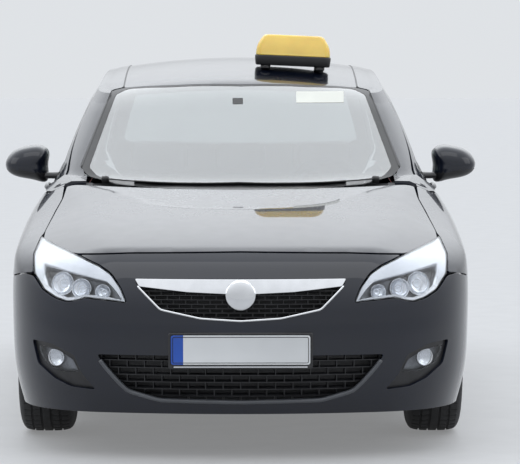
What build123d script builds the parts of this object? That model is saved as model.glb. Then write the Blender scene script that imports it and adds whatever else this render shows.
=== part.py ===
from build123d import *
from math import sin, cos, radians
import os

# A five-door hatchback taxi in dark paint with a yellow sign on its roof, made as an assembly of pressed panels,
# glass, lamps, running gear and cabin fittings. Millimetres. +Z is up, the nose faces -Y, +X is the car's left.
# The origin is on the ground, under the middle of the car.

# Driving dimensions of the whole car
WHEELBASE = 2685
FRONT_AXLE_Y = -1280
REAR_AXLE_Y = FRONT_AXLE_Y + WHEELBASE
TYRE_RADIUS = 323
TYRE_WIDTH = 215
FRONT_TRACK_X = 772
REAR_TRACK_X = 779
AXLE_Z = TYRE_RADIUS
ARCH_RADIUS = 360
ARCH_Z = 330
ROOF_TOP_Z = 1490
ROOF_TOP_Y = 650
ROOF_END_Y = 1648
BONNET_CORNER_X = 729
PANEL_GAP = 5
SILL_TOP_Z = 322
BELT_Z = 1000

# Wall thicknesses, outside to inside. A door is DOOR_WALL deep below its window and FRAME_WALL round it.
GLASS = 5
WING_WALL = 10
BUMPER_WALL = 24
BONNET_WALL = 24
ROOF_WALL = 24
QUARTER_WALL = 24
LINER_INSET = 36
TAILGATE_WALL = 46
DOOR_WALL = 62
FRAME_WALL = 36
RING_WALL = 72
SILL_WALL = 118

# Gaps that differ from PANEL_GAP
DOOR_GAP = 8
LAMP_GAP = 3
SCREEN_GAP = 4
TAILGATE_GAP = 12.5
TAILGATE_FOOT_GAP = 8
FIT = 0.5

# How far a cutting outline runs: across the car for side views, along it for front views, in height for plans
SIDE_CUT = (400, 1100)
LAMP_CUT = (-2400, -1560)
FOG_CUT = (-2400, -1700)
GRILLE_CUT = (-2400, -1900)
TAIL_CUT = (1500, 2400)
ROOF_CUT = (1200, 1600)

# The lower body is a stack of plan outlines: height, half width, nose y, tail y
LOWER_SLICES = [
    (165, 862, -2128, 2125),
    (300, 893, -2190, 2188),
    (480, 905, -2210, 2210),
    (660, 907, -2184, 2200),
    (790, 893, -2108, 2165),
    (900, 850, -2010, 2105),
    (1010, 768, -1900, 2012),
]
LOWER_WIDEST_Y = -100
NOSE_ARC = (2200, 14, 88.5)
TAIL_ARC = (2600, 12, 88.5)

# The cabin above the belt: height, half width, windscreen y, rear window y, windscreen turn, rear turn
CABIN_SLICES = [
    (640, 872, -1660, 2080, 26, 22),
    (900, 828, -1182, 2068, 25, 22),
    (1100, 768, -824, 2012, 23, 22),
    (1250, 704, -552, 1925, 20, 22),
    (1400, 625, -283, 1830, 17, 22),
    (1540, 530, -40, 1730, 15, 22),
]
CABIN_WIDEST_Y = 450
CABIN_FRONT_SHARE = 0.78
CABIN_SIDE_TURN = 86

# The bonnet and wing tops: y, centre height, crease x, crease height, height at x = 950
BONNET_SECTIONS = [
    (-2300, 722, 480, 700, 560),
    (-2000, 811, 530, 790, 656),
    (-1660, 883, 590, 862, 760),
    (-1300, 940, 645, 924, 822),
    (-900, 1003, 705, 996, 890),
    (-600, 1046, 745, 1032, 940),
]
BONNET_REACH_X = 950

# The roof is two arcs along the car, joined at its highest point, with one crown across it
ROOF_FRONT_RADIUS = 4400
ROOF_REAR_RADIUS = 7160
ROOF_CROSS_RADIUS = 3300


def quarter_arcs(width, length, nose_radius, nose_turn, side_turn):
    """Radii and turns of three tangent arcs that run from the middle of an end to the widest point."""
    s1, c1 = sin(radians(nose_turn)), cos(radians(nose_turn))
    s2, c2 = sin(radians(side_turn)), cos(radians(side_turn))
    a, b, p = s2 - s1, 1 - s2, width - nose_radius * s1
    c, d, q = c1 - c2, c2, length - nose_radius * (1 - c1)
    det = a * d - b * c
    corner_radius, side_radius = (p * d - b * q) / det, (a * q - p * c) / det
    return [(nose_radius, 0, nose_turn), (corner_radius, nose_turn, side_turn), (side_radius, side_turn, 90)]


def walk(point, radius, start, stop, way):
    """The point reached by an arc that turns from start to stop degrees. way is -1 from the tail, else 1."""
    x = point[0] + radius * (sin(radians(stop)) - sin(radians(start)))
    y = point[1] + way * radius * (cos(radians(start)) - cos(radians(stop)))
    return x, y


def quarter_edges(z, width, end_y, widest_y, arc):
    """(start, middle, end) of the three arcs of a quarter plan outline, from the end to the widest point."""
    way = 1 if widest_y > end_y else -1
    point, found = (0, end_y), []
    for radius, start, stop in quarter_arcs(width, abs(widest_y - end_y), *arc):
        middle = walk(point, radius, start, (start + stop) / 2, way)
        end = walk(point, radius, start, stop, way)
        found.append(((*point, z), (*middle, z), (*end, z)))
        point = end
    return found


def plan_slice(z, width, nose_y, tail_y, widest_y, nose_arc, tail_arc):
    """A closed plan outline at height z, as a face: twelve tangent arcs."""
    nose = quarter_edges(z, width, nose_y, widest_y, nose_arc)
    tail = quarter_edges(z, width, tail_y, widest_y, tail_arc)
    right = nose + [(e, m, s) for s, m, e in reversed(tail)]
    left = [tuple((-p[0], p[1], p[2]) for p in (e, m, s)) for s, m, e in reversed(right)]
    return Face(Wire([ThreePointArc(*points) for points in right + left]))


VIEWS = {"side": (Plane.YZ, (1, 0, 0)), "front": (Plane.XZ, (0, 1, 0)), "plan": (Plane.XY, (0, 0, 1))}


def prism(points, view, low, high, grow=0):
    """An outline seen from the side (y, z), the front (x, z) or above (x, y), carried from low to high.
    A positive grow moves every edge outwards, which leaves a shut line in a panel that the prism is cut from."""
    plane, way = VIEWS[view]
    face = make_face(Polyline(*points, close=True))
    if grow:
        face = offset(face, grow, kind=Kind.INTERSECTION)
    start = tuple(low * part for part in way)
    return Pos(*start) * extrude(plane * face, high - low, dir=way)


def block(x0, x1, y0, y1, z0, z1):
    """A box given by its limits."""
    return Pos((x0 + x1) / 2, (y0 + y1) / 2, (z0 + z1) / 2) * Box(x1 - x0, y1 - y0, z1 - z0)


def barrel(y, z, radius, x0, x1):
    """A cylinder that lies across the car."""
    return Pos((x0 + x1) / 2, y, z) * Rot(0, 90, 0) * Cylinder(radius, x1 - x0)


def across(points):
    """A closed outline from the points on the car's left, by adding their mirror images."""
    return [*points, *[(-x, v) for x, v in reversed(points) if x > 0]]


def mirrored(shape):
    """The same shape on the other side of the car."""
    return mirror(shape, about=Plane.YZ)


def both(shape):
    """A shape and its mirror image, as one node of two solids."""
    return Compound(children=[*shape.solids(), *mirrored(shape).solids()])


def lower_body(inset):
    slices = [
        plan_slice(z, w - inset, nose + inset, tail - inset, LOWER_WIDEST_Y, NOSE_ARC, TAIL_ARC)
        for z, w, nose, tail in LOWER_SLICES
    ]
    return loft(slices)


def cabin_body(inset):
    """The glasshouse. The windscreen leans at about 29 degrees, so its inset runs further along the car."""
    slices = []
    for z, w, nose, tail, nose_turn, tail_turn in CABIN_SLICES:
        width = w - 1.1 * inset
        reach = CABIN_FRONT_SHARE * width
        nose_arc = (reach / sin(radians(nose_turn)), nose_turn, CABIN_SIDE_TURN)
        tail_arc = (reach / sin(radians(tail_turn)), tail_turn, CABIN_SIDE_TURN)
        slices.append(
            plan_slice(z, width, nose + 2.06 * inset, tail - 1.15 * inset, CABIN_WIDEST_Y, nose_arc, tail_arc)
        )
    return loft(slices)


def under_roof(inset):
    """Everything below the roof skin: one crowned section swung along two arcs."""
    reach, deep = 1000, 900
    drop = reach**2 / (2 * ROOF_CROSS_RADIUS)
    top = ROOF_TOP_Z - inset
    crown = ThreePointArc((-reach, 0, top - drop), (0, 0, top), (reach, 0, top - drop))
    right = Line((reach, 0, top - drop), (reach, 0, top - deep))
    base = Line((reach, 0, top - deep), (-reach, 0, top - deep))
    left = Line((-reach, 0, top - deep), (-reach, 0, top - drop))
    section = Pos(0, ROOF_TOP_Y, 0) * Face(Wire([crown, right, base, left]))
    front_axis = Axis((0, ROOF_TOP_Y, ROOF_TOP_Z - ROOF_FRONT_RADIUS), (1, 0, 0))
    rear_axis = Axis((0, ROOF_TOP_Y, ROOF_TOP_Z - ROOF_REAR_RADIUS), (-1, 0, 0))
    front = revolve(section, axis=front_axis, revolution_arc=30)
    return front + revolve(section, axis=rear_axis, revolution_arc=16)


def over_bonnet(inset):
    """Everything above the bonnet and wing tops, to be cut from the lower body."""
    faces, high = [], 1500
    for y, centre, crease_x, crease_z, edge_z in BONNET_SECTIONS:
        c, k, e = centre - inset, crease_z - inset, edge_z - inset
        arc = ThreePointArc((-crease_x, y, k), (0, y, c), (crease_x, y, k))
        right = Line((crease_x, y, k), (BONNET_REACH_X, y, e))
        rise = Line((BONNET_REACH_X, y, e), (BONNET_REACH_X, y, high))
        lid = Line((BONNET_REACH_X, y, high), (-BONNET_REACH_X, y, high))
        drop = Line((-BONNET_REACH_X, y, high), (-BONNET_REACH_X, y, e))
        left = Line((-BONNET_REACH_X, y, e), (-crease_x, y, k))
        faces.append(Face(Wire([arc, right, rise, lid, drop, left])))
    return loft(faces)


FORMS = {}
CABINS = {}


def cabin(inset):
    """The glasshouse under its roof, as one solid."""
    if inset not in CABINS:
        CABINS[inset] = cabin_body(inset) & under_roof(inset)
    return CABINS[inset]


def form(inset):
    """The whole body as one solid, taken in by inset on every side. A panel is the difference of two forms."""
    if inset not in FORMS:
        FORMS[inset] = lower_body(inset) - over_bonnet(inset) + cabin(inset)
    return FORMS[inset]


def skin(region, thickness, start=0):
    """The part of the body wall inside a region, from start to start + thickness below the surface."""
    return (region & form(start)) - form(start + thickness)


def stepped(below_belt, above_belt, step_z=BELT_Z):
    """A form whose inset changes at the belt line, where a door is thick below and only a frame above."""
    upper = block(-1000, 1000, -2400, 2400, step_z, 1600)
    return (form(below_belt) - upper) + (form(above_belt) & upper)


# Side view outlines, as (y, z) points. The doors are 8 mm apart and 8 mm clear of the panels round them.
FRONT_DOOR = [
    (-846, 330), (-854, 700), (-846, 937), (-798, 987), (-560, 1105), (-290, 1245), (-130, 1325),
    (30, 1360), (257, 1376), (257, 330),
]
REAR_DOOR = [
    (265, 330), (265, 1377), (650, 1390), (880, 1384), (1070, 1356), (1205, 1240), (1258, 1080),
    (1247, 1030), (1183, 950), (1148, 800), (1100, 655), (1040, 545), (996, 440), (984, 330),
]
FRONT_WINDOW = [(-664, 1003), (-540, 1065), (-270, 1205), (-110, 1284), (35, 1316), (212, 1331), (212, 1018)]
REAR_WINDOW = [
    (312, 1022), (312, 1333), (650, 1345), (865, 1338), (1035, 1310), (1140, 1215), (1196, 1085), (1186, 1045),
]
WING = [
    (-1500, 566), (-1557, 601), (-1618, 651), (-1912, 692), (-1938, 692), (-1938, 1100), (-962, 1100),
    (-962, 945), (-840, 945), (-840, 326), (-1000, 326),
]
FRONT_BUMPER = [
    (-2400, 100), (-1500, 100), (-1500, 560), (-1557, 595), (-1618, 645), (-1912, 687), (-1940, 687),
    (-1940, 1000), (-2400, 1000),
]
REAR_BUMPER = [(2400, 100), (1560, 100), (1560, 548), (1692, 551), (1893, 635), (1967, 783), (2400, 783)]
QUARTER = [
    (980, 326), (1560, 326), (1560, 554), (1690, 557), (1889, 640), (1962, 788), (2400, 788), (2400, 1600),
    (1104, 1600), (1104, 1340), (1040, 1200), (1040, 560), (960, 440),
]
CABIN_RING = [
    (-957, 950), (-957, 1100), (-300, 1600), (1100, 1600), (1100, 1345), (60, 1330), (-560, 1080), (-835, 950),
]

# Door handles: where the skin is (x, y) at the handle's height
HANDLE_Z = 905
HANDLE_LENGTH = 190
FRONT_HANDLE = (847, 140)
REAR_HANDLE = (838, 1040)

# Outlines seen from above, as (x, y) points on the car's left
BONNET_PLAN = [
    (0, -1130), (250, -1112), (450, -1072), (600, -1025), (722, -985), (722, -1150), (740, -1300), (772, -1660),
    (806, -1900), (806, -2400), (0, -2400),
]
COWL_PLAN = [(0, -1112), (250, -1094), (450, -1054), (620, -1000), (620, -870), (0, -990)]
ROOF_PLAN = [(0, -300), (300, -273), (512, -221), (512, 1640), (0, 1640)]

# Outlines seen from the front or rear, as (x, z) points on the car's left
BONNET_FRONT = [(0, 784), (413, 778), (630, 768), (775, 813), (830, 850), (830, 1200), (0, 1200)]
HEADLAMP = [
    (430, 600), (455, 652), (494, 704), (532, 728), (603, 758), (775, 811), (795, 757), (789, 692), (747, 634),
    (655, 597), (588, 615),
]
CHROME_BAR = [(0, 685), (398, 685), (384, 655), (200, 636), (0, 627)]
UPPER_GRILLE = [(0, 685), (398, 685), (384, 655), (300, 572), (150, 540), (0, 531)]
UPPER_MESH = [(0, 632), (200, 641), (378, 655), (296, 581), (150, 549), (0, 540)]
LOWER_GRILLE = [(0, 400), (540, 400), (512, 360), (460, 300), (422, 262), (303, 228), (0, 222)]
FOG_RECESS = [(545, 262), (640, 270), (704, 298), (770, 350), (792, 440), (716, 432), (628, 394), (596, 322)]
FOG_LENS = [(612, 326), (686, 324), (744, 350), (768, 388), (772, 418), (694, 406), (636, 372)]
SCREEN = [(0, 966), (300, 968), (500, 980), (630, 1006), (668, 1035), (560, 1352), (560, 1500), (0, 1500)]
TAILGATE = [
    (0, 600), (560, 600), (590, 640), (600, 790), (650, 925), (684, 1010), (640, 1200), (600, 1385),
    (600, 1600), (0, 1600),
]
TAIL_GLASS = [(0, 1040), (560, 1052), (604, 1075), (540, 1325), (0, 1345)]
TAIL_LAMP = [(611, 800), (664, 918), (714, 955), (1000, 955), (1000, 800)]

front_door_zone = prism(FRONT_DOOR, "side", *SIDE_CUT)
rear_door_zone = prism(REAR_DOOR, "side", *SIDE_CUT)
door_ways = prism(FRONT_DOOR, "side", *SIDE_CUT, DOOR_GAP) + prism(REAR_DOOR, "side", *SIDE_CUT, DOOR_GAP)
front_arch = barrel(FRONT_AXLE_Y, ARCH_Z, ARCH_RADIUS, *SIDE_CUT)
rear_arch = barrel(REAR_AXLE_Y, ARCH_Z, ARCH_RADIUS, *SIDE_CUT)


def bonnet_zone(gap):
    front = prism(across(BONNET_FRONT), "front", -2400, -850, gap)
    return front & prism(across(BONNET_PLAN), "plan", 600, 1200, gap)


def lamp_zone(gap):
    return prism(HEADLAMP, "front", *LAMP_CUT, gap)


def tail_lamp_zone(gap):
    return prism(TAIL_LAMP, "front", 1925 - gap, 2400, gap)


def tailgate_zone(gap):
    return prism(across(TAILGATE), "front", ROOF_END_Y - gap, 2400, gap)


# Body panels, built on the car's left and mirrored
def make_bonnet():
    lamps = lamp_zone(PANEL_GAP)
    return skin(bonnet_zone(0), BONNET_WALL) - lamps - mirrored(lamps)


def make_front_wing():
    region = prism(WING, "side", 700, 1100)
    corner = block(0, BONNET_CORNER_X, -1100, -900, 800, 1100)
    return skin(region, WING_WALL) - bonnet_zone(PANEL_GAP) - corner - lamp_zone(LAMP_GAP) - door_ways - front_arch


def make_front_bumper():
    openings = prism(across(UPPER_GRILLE), "front", *GRILLE_CUT)
    openings += prism(across(LOWER_GRILLE), "front", *GRILLE_CUT)
    recess = prism(FOG_RECESS, "front", *FOG_CUT)
    holes = lamp_zone(LAMP_GAP) + recess
    shell = skin(prism(FRONT_BUMPER, "side", -1100, 1100), BUMPER_WALL)
    rest = block(-275, 275, -2300, -2196, 346, 494)
    shell = shell - bonnet_zone(PANEL_GAP) - openings - holes - mirrored(holes) - rest
    return shell - front_arch - mirrored(front_arch)


def make_door(zone, window, handle_x, handle_y):
    """A door with its window cut through, and a pull handle over a scoop in the skin."""
    place = Plane(origin=(handle_x, handle_y, HANDLE_Z), x_dir=(0, 1, 0), z_dir=(0.87, 0, 0.49))
    grip = Pos(0, 0, 27) * Box(HANDLE_LENGTH, 24, 14)
    grip = fillet(grip.edges().filter_by(Axis.Z), 10)
    feet = [Pos(x, 0, 8) * Box(24, 20, 30) for x in (-HANDLE_LENGTH / 2 + 18, HANDLE_LENGTH / 2 - 18)]
    scoop = place * Pos(0, 0, 55) * Sphere(70)
    panel = (zone & form(0)) - stepped(DOOR_WALL, FRAME_WALL) - prism(window, "side", *SIDE_CUT)
    return panel - scoop + place * (grip + feet)


def make_side_frame():
    """Sill, hinge pillar, windscreen pillar, roof rail and centre pillar, welded into one ring."""
    sill = skin(block(600, 1100, -1000, 1100, 100, SILL_TOP_Z), SILL_WALL)
    hinge_post = block(680, 1100, -880, -790, 300, 880) + block(680, 1100, -880, -862, 860, 1000)
    posts = hinge_post + block(480, 1100, 205, 325, 300, 1415)
    posts = (posts & stepped(RING_WALL, TAILGATE_WALL, BELT_Z + 12)) - form(SILL_WALL)
    foot = skin(block(640, 1100, -932, -862, 950, 1000), SILL_WALL)
    screen = prism(across(SCREEN), "front", -1400, 400, SCREEN_GAP)
    ring = skin(prism(CABIN_RING, "side", *SIDE_CUT) - screen, RING_WALL)
    ring = ring - prism(across(ROOF_PLAN), "plan", *ROOF_CUT, 1) - door_ways
    ring = ring - bonnet_zone(PANEL_GAP) - block(0, 640, -1200, -700, 900, 1030)
    corner = block(0, BONNET_CORNER_X, -1100, -932, 800, 1100)
    return sill + posts + foot + ring - front_arch - rear_arch - bonnet_zone(PANEL_GAP) - corner


def make_rear_quarter():
    """The panel behind the rear door, with the rear pillar and the wheel opening."""
    shell = skin(prism(QUARTER, "side", *SIDE_CUT), QUARTER_WALL)
    shell = shell - door_ways - rear_arch - tailgate_zone(TAILGATE_GAP) - tail_lamp_zone(LAMP_GAP)
    return shell - prism(across(ROOF_PLAN), "plan", *ROOF_CUT, 1)


def make_rear_bumper():
    shell = skin(prism(REAR_BUMPER, "side", -1100, 1100), BUMPER_WALL) - tailgate_zone(TAILGATE_FOOT_GAP)
    return shell - rear_arch - mirrored(rear_arch)


def make_tailgate():
    shell = (tailgate_zone(0) & form(0)) - form(TAILGATE_WALL)
    return shell - prism(across(TAIL_GLASS), "front", *TAIL_CUT)


def make_roof():
    return skin(prism(across(ROOF_PLAN), "plan", *ROOF_CUT), ROOF_WALL)


def make_windscreen():
    region = prism(across(SCREEN), "front", -1300, 0) - prism(across(ROOF_PLAN), "plan", *ROOF_CUT, SCREEN_GAP)
    return (region & cabin(0)) - cabin(GLASS)


# The lamp's two cups: a point on the bowl's face (x, y, z) and the cup's radius
LAMP_CUPS = [((680, -1993, 680), 40), ((562, -2070, 653), 36)]
CUP_DEPTH = 14


def make_headlamp():
    """The bowl behind the lens, with two round cups sunk in it and a dome in each."""
    bowl = skin(prism(HEADLAMP, "front", *LAMP_CUT, -3), 26, 36)
    for centre, radius in LAMP_CUPS:
        place = Plane(origin=centre, z_dir=(0.42, -0.79, 0.44))
        cup = extrude(place.offset(-CUP_DEPTH) * Circle(radius), 60)
        dome = place * Pos(0, 0, -CUP_DEPTH - 6) * Sphere(0.6 * radius)
        bowl = bowl - cup + (dome & skin(lamp_zone(0), 34, 28))
    return bowl


def make_fog_lamp():
    """A black surround that fills the recess, with the lamp's lens set in below its face."""
    surround = skin(prism(FOG_RECESS, "front", *FOG_CUT, -FIT), 26, 10)
    return surround - skin(prism(FOG_LENS, "front", *FOG_CUT), 10, 5)


def make_cowl():
    return skin(prism(across(COWL_PLAN), "plan", 800, 1000), 12, 24)


def make_tail_glass():
    return skin(prism(across(TAIL_GLASS), "front", *TAIL_CUT, -FIT), GLASS)


def make_door_glass(window):
    return skin(prism(window, "side", *SIDE_CUT, -FIT), GLASS, GLASS)


def lattice(outline, pitch_x, pitch_z, bar):
    """A flat grating inside a front view outline: slots laid like brickwork, with a solid border."""
    face = make_face(Polyline(*outline, close=True))
    border = face - offset(face, -7, kind=Kind.INTERSECTION)
    box = face.bounding_box()
    rows, columns = int(box.size.Y / pitch_z) + 1, int(box.size.X / pitch_x) + 2
    slots = []
    for row in range(rows):
        for column in range(columns):
            x = box.min.X + (column + 0.5 * (row % 2)) * pitch_x
            z = box.max.Y - (row + 0.5) * pitch_z
            slots.append(Pos(x, z) * Rectangle(pitch_x - bar, pitch_z - bar))
    return border + (face - Sketch() - slots)


def make_grille(outline, pitch_x, pitch_z, bar, front_y, radius):
    """The lattice carried back through a curved sheet that follows the bumper."""
    flat = VIEWS["front"][0] * lattice(across(outline), pitch_x, pitch_z, bar)
    sheet = Cylinder(radius, 600) - Cylinder(radius - 10, 600)
    grating = Pos(0, front_y, 0) * extrude(flat, 250, dir=(0, 1, 0))
    return grating & Pos(0, front_y + radius, 500) * sheet


def make_grille_bar():
    """The bright bar across the top of the grille with a plain boss, and a thin line round the opening."""
    bar = prism(across(CHROME_BAR), "front", *GRILLE_CUT, -1)
    line = prism(across(UPPER_GRILLE), "front", *GRILLE_CUT, -1)
    line -= prism(across(UPPER_GRILLE), "front", *GRILLE_CUT, -8)
    bright = skin(bar + line, BUMPER_WALL)
    boss = Pos(0, -2185, 625) * Rot(90, 0, 0) * Cylinder(58, 28)
    return bright + fillet(boss.edges().group_by(Axis.Y)[0], 8)


# Running gear. Wheels are drawn about their own axle, with the outboard face towards +X.
KINGPIN_LOW = (722, 190)
KINGPIN_TOP = (560, 800)
STUB_RADIUS = 30
RUNNING_GAP = 0.05
UPRIGHT = [
    (704, 177), (734, 177), (731, 260), (725, 390), (690, 440), (645, 560), (606, 560), (636, 440), (668, 380),
    (688, 260),
]
RIM_SECTION = [
    (-101, 229), (-95, 229), (-95, 218.4), (95, 218.4), (95, 229), (101, 229), (101, 214), (88, 208), (-88, 208),
    (-101, 214),
]
HUB_SECTION = [
    (62, 0), (50, 0), (50, STUB_RADIUS + RUNNING_GAP), (-30, STUB_RADIUS + RUNNING_GAP), (-30, 140), (-8, 140),
    (-8, 72), (44, 70), (62, 58),
]

TYRE_SECTION = [
    (72, TYRE_RADIUS), (98, 306), (TYRE_WIDTH / 2, 268), (102, 232), (94.5, 230), (94.5, 219),
    (-94.5, 219), (-94.5, 230), (-102, 232), (-TYRE_WIDTH / 2, 268), (-98, 306), (-72, TYRE_RADIUS),
]
SPOKES = 5


def spun(points):
    """A section of (x, radius) points turned about the X axis."""
    return revolve(VIEWS["front"][0] * make_face(Polyline(*points, close=True)), axis=Axis.X)


def make_rim():
    """A wheel of five twin spokes. Each pair leaves the hub together and opens towards the rim."""
    rim = spun(RIM_SECTION) + spun(HUB_SECTION)
    pair = Polyline((-30, 48), (-46, 212), (46, 212), (30, 48), close=True)
    slot = Polyline((-7, 96), (-24, 196), (24, 196), (7, 96), close=True)
    arm = extrude(Plane.YZ * (make_face(pair) - make_face(slot)), 24, dir=(1, 0, 0))
    for turn in range(SPOKES):
        rim += Rot(360 / SPOKES * turn, 0, 0) * Pos(42, 0, 0) * arm
    return rim


def make_tyre():
    """The tyre's outside, from tread to bead, with its bore seated on the rim."""
    return spun(TYRE_SECTION)


def make_caliper():
    """The brake caliper that straddles the disc, drawn about the axle."""
    pad = block(-47, 9, 82, 158, -55, 55)
    pad = pad - block(-35, -3, 0, 148, -80, 80)
    return pad & Pos(-19, 0, 0) * Rot(0, 90, 0) * Cylinder(165, 80)


def make_knuckle():
    """Upright, stub axle, caliper and damper in one, which turn together about the kingpin."""
    upright = prism(UPRIGHT, "front", FRONT_AXLE_Y - 32, FRONT_AXLE_Y + 32)
    stub = barrel(FRONT_AXLE_Y, AXLE_Z, STUB_RADIUS, 690, FRONT_TRACK_X + 45)
    lean = (KINGPIN_TOP[0] - KINGPIN_LOW[0]) / (KINGPIN_TOP[1] - KINGPIN_LOW[1])
    base = Plane(origin=(KINGPIN_LOW[0] + lean * 280, FRONT_AXLE_Y, KINGPIN_LOW[1] + 280), z_dir=(lean, 0, 1))
    damper = extrude(base * Circle(26), 320)
    caliper = Pos(FRONT_TRACK_X, FRONT_AXLE_Y, AXLE_Z) * make_caliper()
    bracket = block(700, 730, FRONT_AXLE_Y, FRONT_AXLE_Y + 110, AXLE_Z - 30, AXLE_Z + 30)
    return upright + stub + damper + caliper + bracket


def make_front_subframe():
    cross = block(-430, 430, -1370, -1190, 150, 205)
    outline = [(400, -1400), (400, -1150), (700, -1262), (738, -1270), (738, -1290), (700, -1298)]
    arm = prism(outline, "plan", 150, 165)
    return cross + arm + mirrored(arm)


def make_rear_axle():
    """A twist beam with trailing arms, a stub axle at each end and the rear calipers."""
    beam = barrel(1300, 310, 32, -620, 620)
    arm = block(604, 644, 900, 1440, 268, 340)
    stub = barrel(REAR_AXLE_Y, AXLE_Z, STUB_RADIUS, 620, REAR_TRACK_X + 45)
    caliper = Pos(REAR_TRACK_X, REAR_AXLE_Y, AXLE_Z) * make_caliper()
    carrier = block(604, 735, REAR_AXLE_Y, REAR_AXLE_Y + 120, AXLE_Z - 30, AXLE_Z + 30)
    side = arm + stub + caliper + carrier
    return beam + side + mirrored(side)


def make_arch_liner(axle_y, inner_radius, x_low):
    """The plastic lining over a wheel: the upper part of a ring, trimmed to stay inside the panels."""
    ring = barrel(axle_y, ARCH_Z, inner_radius + 5, x_low, 880) - barrel(axle_y, ARCH_Z, inner_radius, 0, 1000)
    return (ring - block(0, 1000, axle_y - 500, axle_y + 500, 0, 360)) & form(LINER_INSET)


def make_inner_wing():
    """The engine bay's side wall with the tower over the damper."""
    wall = block(462, 470, -1940, -970, 360, 860) & form(LINER_INSET)
    tower = block(470, 640, -1380, -1180, 810, 822) & form(LINER_INSET)
    return wall + tower


def make_floor():
    floor = block(-730, 730, -865, 700, 190, 204)
    step = block(-730, 730, 686, 700, 190, 359)
    boot = block(-598, 598, 700, 2150, 345, 359) & form(LINER_INSET)
    tunnel = block(-120, 120, -945, 690, 190, 300)
    return floor + step + boot + tunnel - block(-106, 106, -960, 710, 100, 286)


def make_bulkhead():
    wall = block(-740, 740, -966, -870, 206, 960) & form(TAILGATE_WALL)
    wall = wall - block(-455, 455, -952, -860, 0, 2000) - block(-1000, 1000, -952, -860, 740, 2000)
    for side in (-1, 1):
        wall -= Pos(side * 734, -942, 363) * Box(530, 116, 726)
    return wall - block(-125, 125, -1000, -850, 0, 304)


def make_exhaust():
    pipe = Pos(0, 375, 240) * Rot(90, 0, 0) * Cylinder(24, 2950)
    box = block(-280, 280, 1750, 1990, 205, 320)
    return pipe + fillet(box.edges().filter_by(Axis.X), 50)


def make_engine():
    block_shape = block(-330, 300, -1690, -1130, 225, 760)
    return chamfer(block_shape.edges().filter_by(Axis.X), 40)


def make_radiator():
    return block(-320, 320, -1985, -1935, 250, 660)


def make_fuel_tank():
    return fillet(block(-560, -140, 740, 1120, 205, 335).edges().filter_by(Axis.Z), 40)


# The cabin
def seat(x0, x1, cushion, back, rests):
    """A seat from its side view outlines, with head restraints at the given places across it."""
    shape = prism(cushion, "side", x0, x1) + prism(back, "side", x0, x1)
    tip_y, tip_z = back[2]
    for x in rests:
        rest = block(x - 125, x + 125, -45, 45, 0, 170)
        rest = fillet(rest.edges().filter_by(Axis.X), 30)
        shape += Pos(0, tip_y - 40, tip_z - 6) * Rot(-14, 0, 0) * rest
    return shape


FRONT_CUSHION = [(-400, 300), (-400, 420), (-340, 470), (60, 430), (160, 440), (160, 300)]
FRONT_BACK = [(60, 340), (170, 340), (330, 940), (260, 965), (205, 940), (60, 470)]
REAR_CUSHION = [(730, 361), (730, 470), (780, 505), (1120, 470), (1220, 470), (1220, 361)]
REAR_BACK = [(1110, 420), (1230, 400), (1420, 900), (1340, 930), (1290, 905), (1100, 500)]
DASHBOARD = [
    (-860, 640), (-860, 750), (-940, 760), (-940, 880), (-780, 925), (-660, 880), (-640, 770), (-720, 640),
]
DIAL_HOOD = [(-800, 900), (-770, 945), (-690, 962), (-640, 930), (-660, 870)]
CONSOLE = [(-745, 301), (-745, 700), (-690, 700), (-600, 520), (-330, 420), (-330, 301)]
WHEEL_CENTRE = (370, -440, 885)
COLUMN_TILT = 24


def make_dashboard():
    board = prism(DASHBOARD, "side", -660, 660)
    hood = prism(DIAL_HOOD, "side", 235, 505)
    console = prism(CONSOLE, "side", -105, 105)
    lever = Pos(0, -470, 500) * Rot(12, 0, 0) * (Cylinder(8, 130) + Pos(0, 0, 70) * Sphere(24))
    board = board + hood + (console + lever)
    column = Cylinder(32, 190, align=(Align.CENTER, Align.CENTER, Align.MAX))
    shaft = Pos(0, 0, -1) * Cylinder(10, 18, align=(Align.CENTER, Align.CENTER, Align.MIN))
    place = Pos(*WHEEL_CENTRE) * Rot(COLUMN_TILT - 90, 0, 0)
    return board + place * Pos(0, 0, -45) * (column + shaft)


def make_steering_wheel():
    """Rim, three spokes and a hub that runs on the column's shaft. Drawn facing +Z, then leaned back."""
    ring = Torus(178, 14)
    hub = Cylinder(58, 40) - Pos(0, 0, -20) * Cylinder(10 + RUNNING_GAP, 30)
    spokes = block(-172, 172, -22, 22, -8, 8) + block(-22, 22, -172, 0, -8, 8)
    return Pos(*WHEEL_CENTRE) * Rot(COLUMN_TILT - 90, 0, 0) * (ring + (hub + (spokes - Cylinder(40, 60))))


# Things on the outside. A mirror housing is one outline seen from the front, scaled about its centre at each y.
MIRROR_CENTRE = (905, 1040)
MIRROR_OUTLINE = [
    (829, 1100), (850, 1117), (911, 1119), (975, 1098), (1006, 1064), (1013, 1038), (1002, 1010), (954, 984),
    (880, 969), (836, 966), (828, 990), (830, 1040),
]
MIRROR_SLICES = [(-524, 0.55), (-512, 0.76), (-492, 0.9), (-462, 0.97), (-430, 1.0), (-396, 1.0)]
MIRROR_GLASS_SCALE = 0.88
MIRROR_GLASS_Y = -404


def mirror_face(y, scale):
    cx, cz = MIRROR_CENTRE
    spots = [(cx + scale * (x - cx), cz + scale * (z - cz)) for x, z in MIRROR_OUTLINE]
    return Plane.XZ.offset(-y) * make_face(Spline(*spots, periodic=True))


def make_mirror():
    """A door mirror's housing on its foot, with the glass set back in its rear face."""
    foot = block(740, 870, -500, -440, 978, 1006) - form(0)
    glass = extrude(mirror_face(MIRROR_GLASS_Y, MIRROR_GLASS_SCALE), 20, dir=(0, 1, 0))
    return loft([mirror_face(*row) for row in MIRROR_SLICES], ruled=True) - glass + foot


SIGN_X, SIGN_Y, SIGN_TILT = 231, 50, 2.5


def sign_place():
    return Pos(SIGN_X, SIGN_Y, 1441) * Rot(0, SIGN_TILT, 0)


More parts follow.
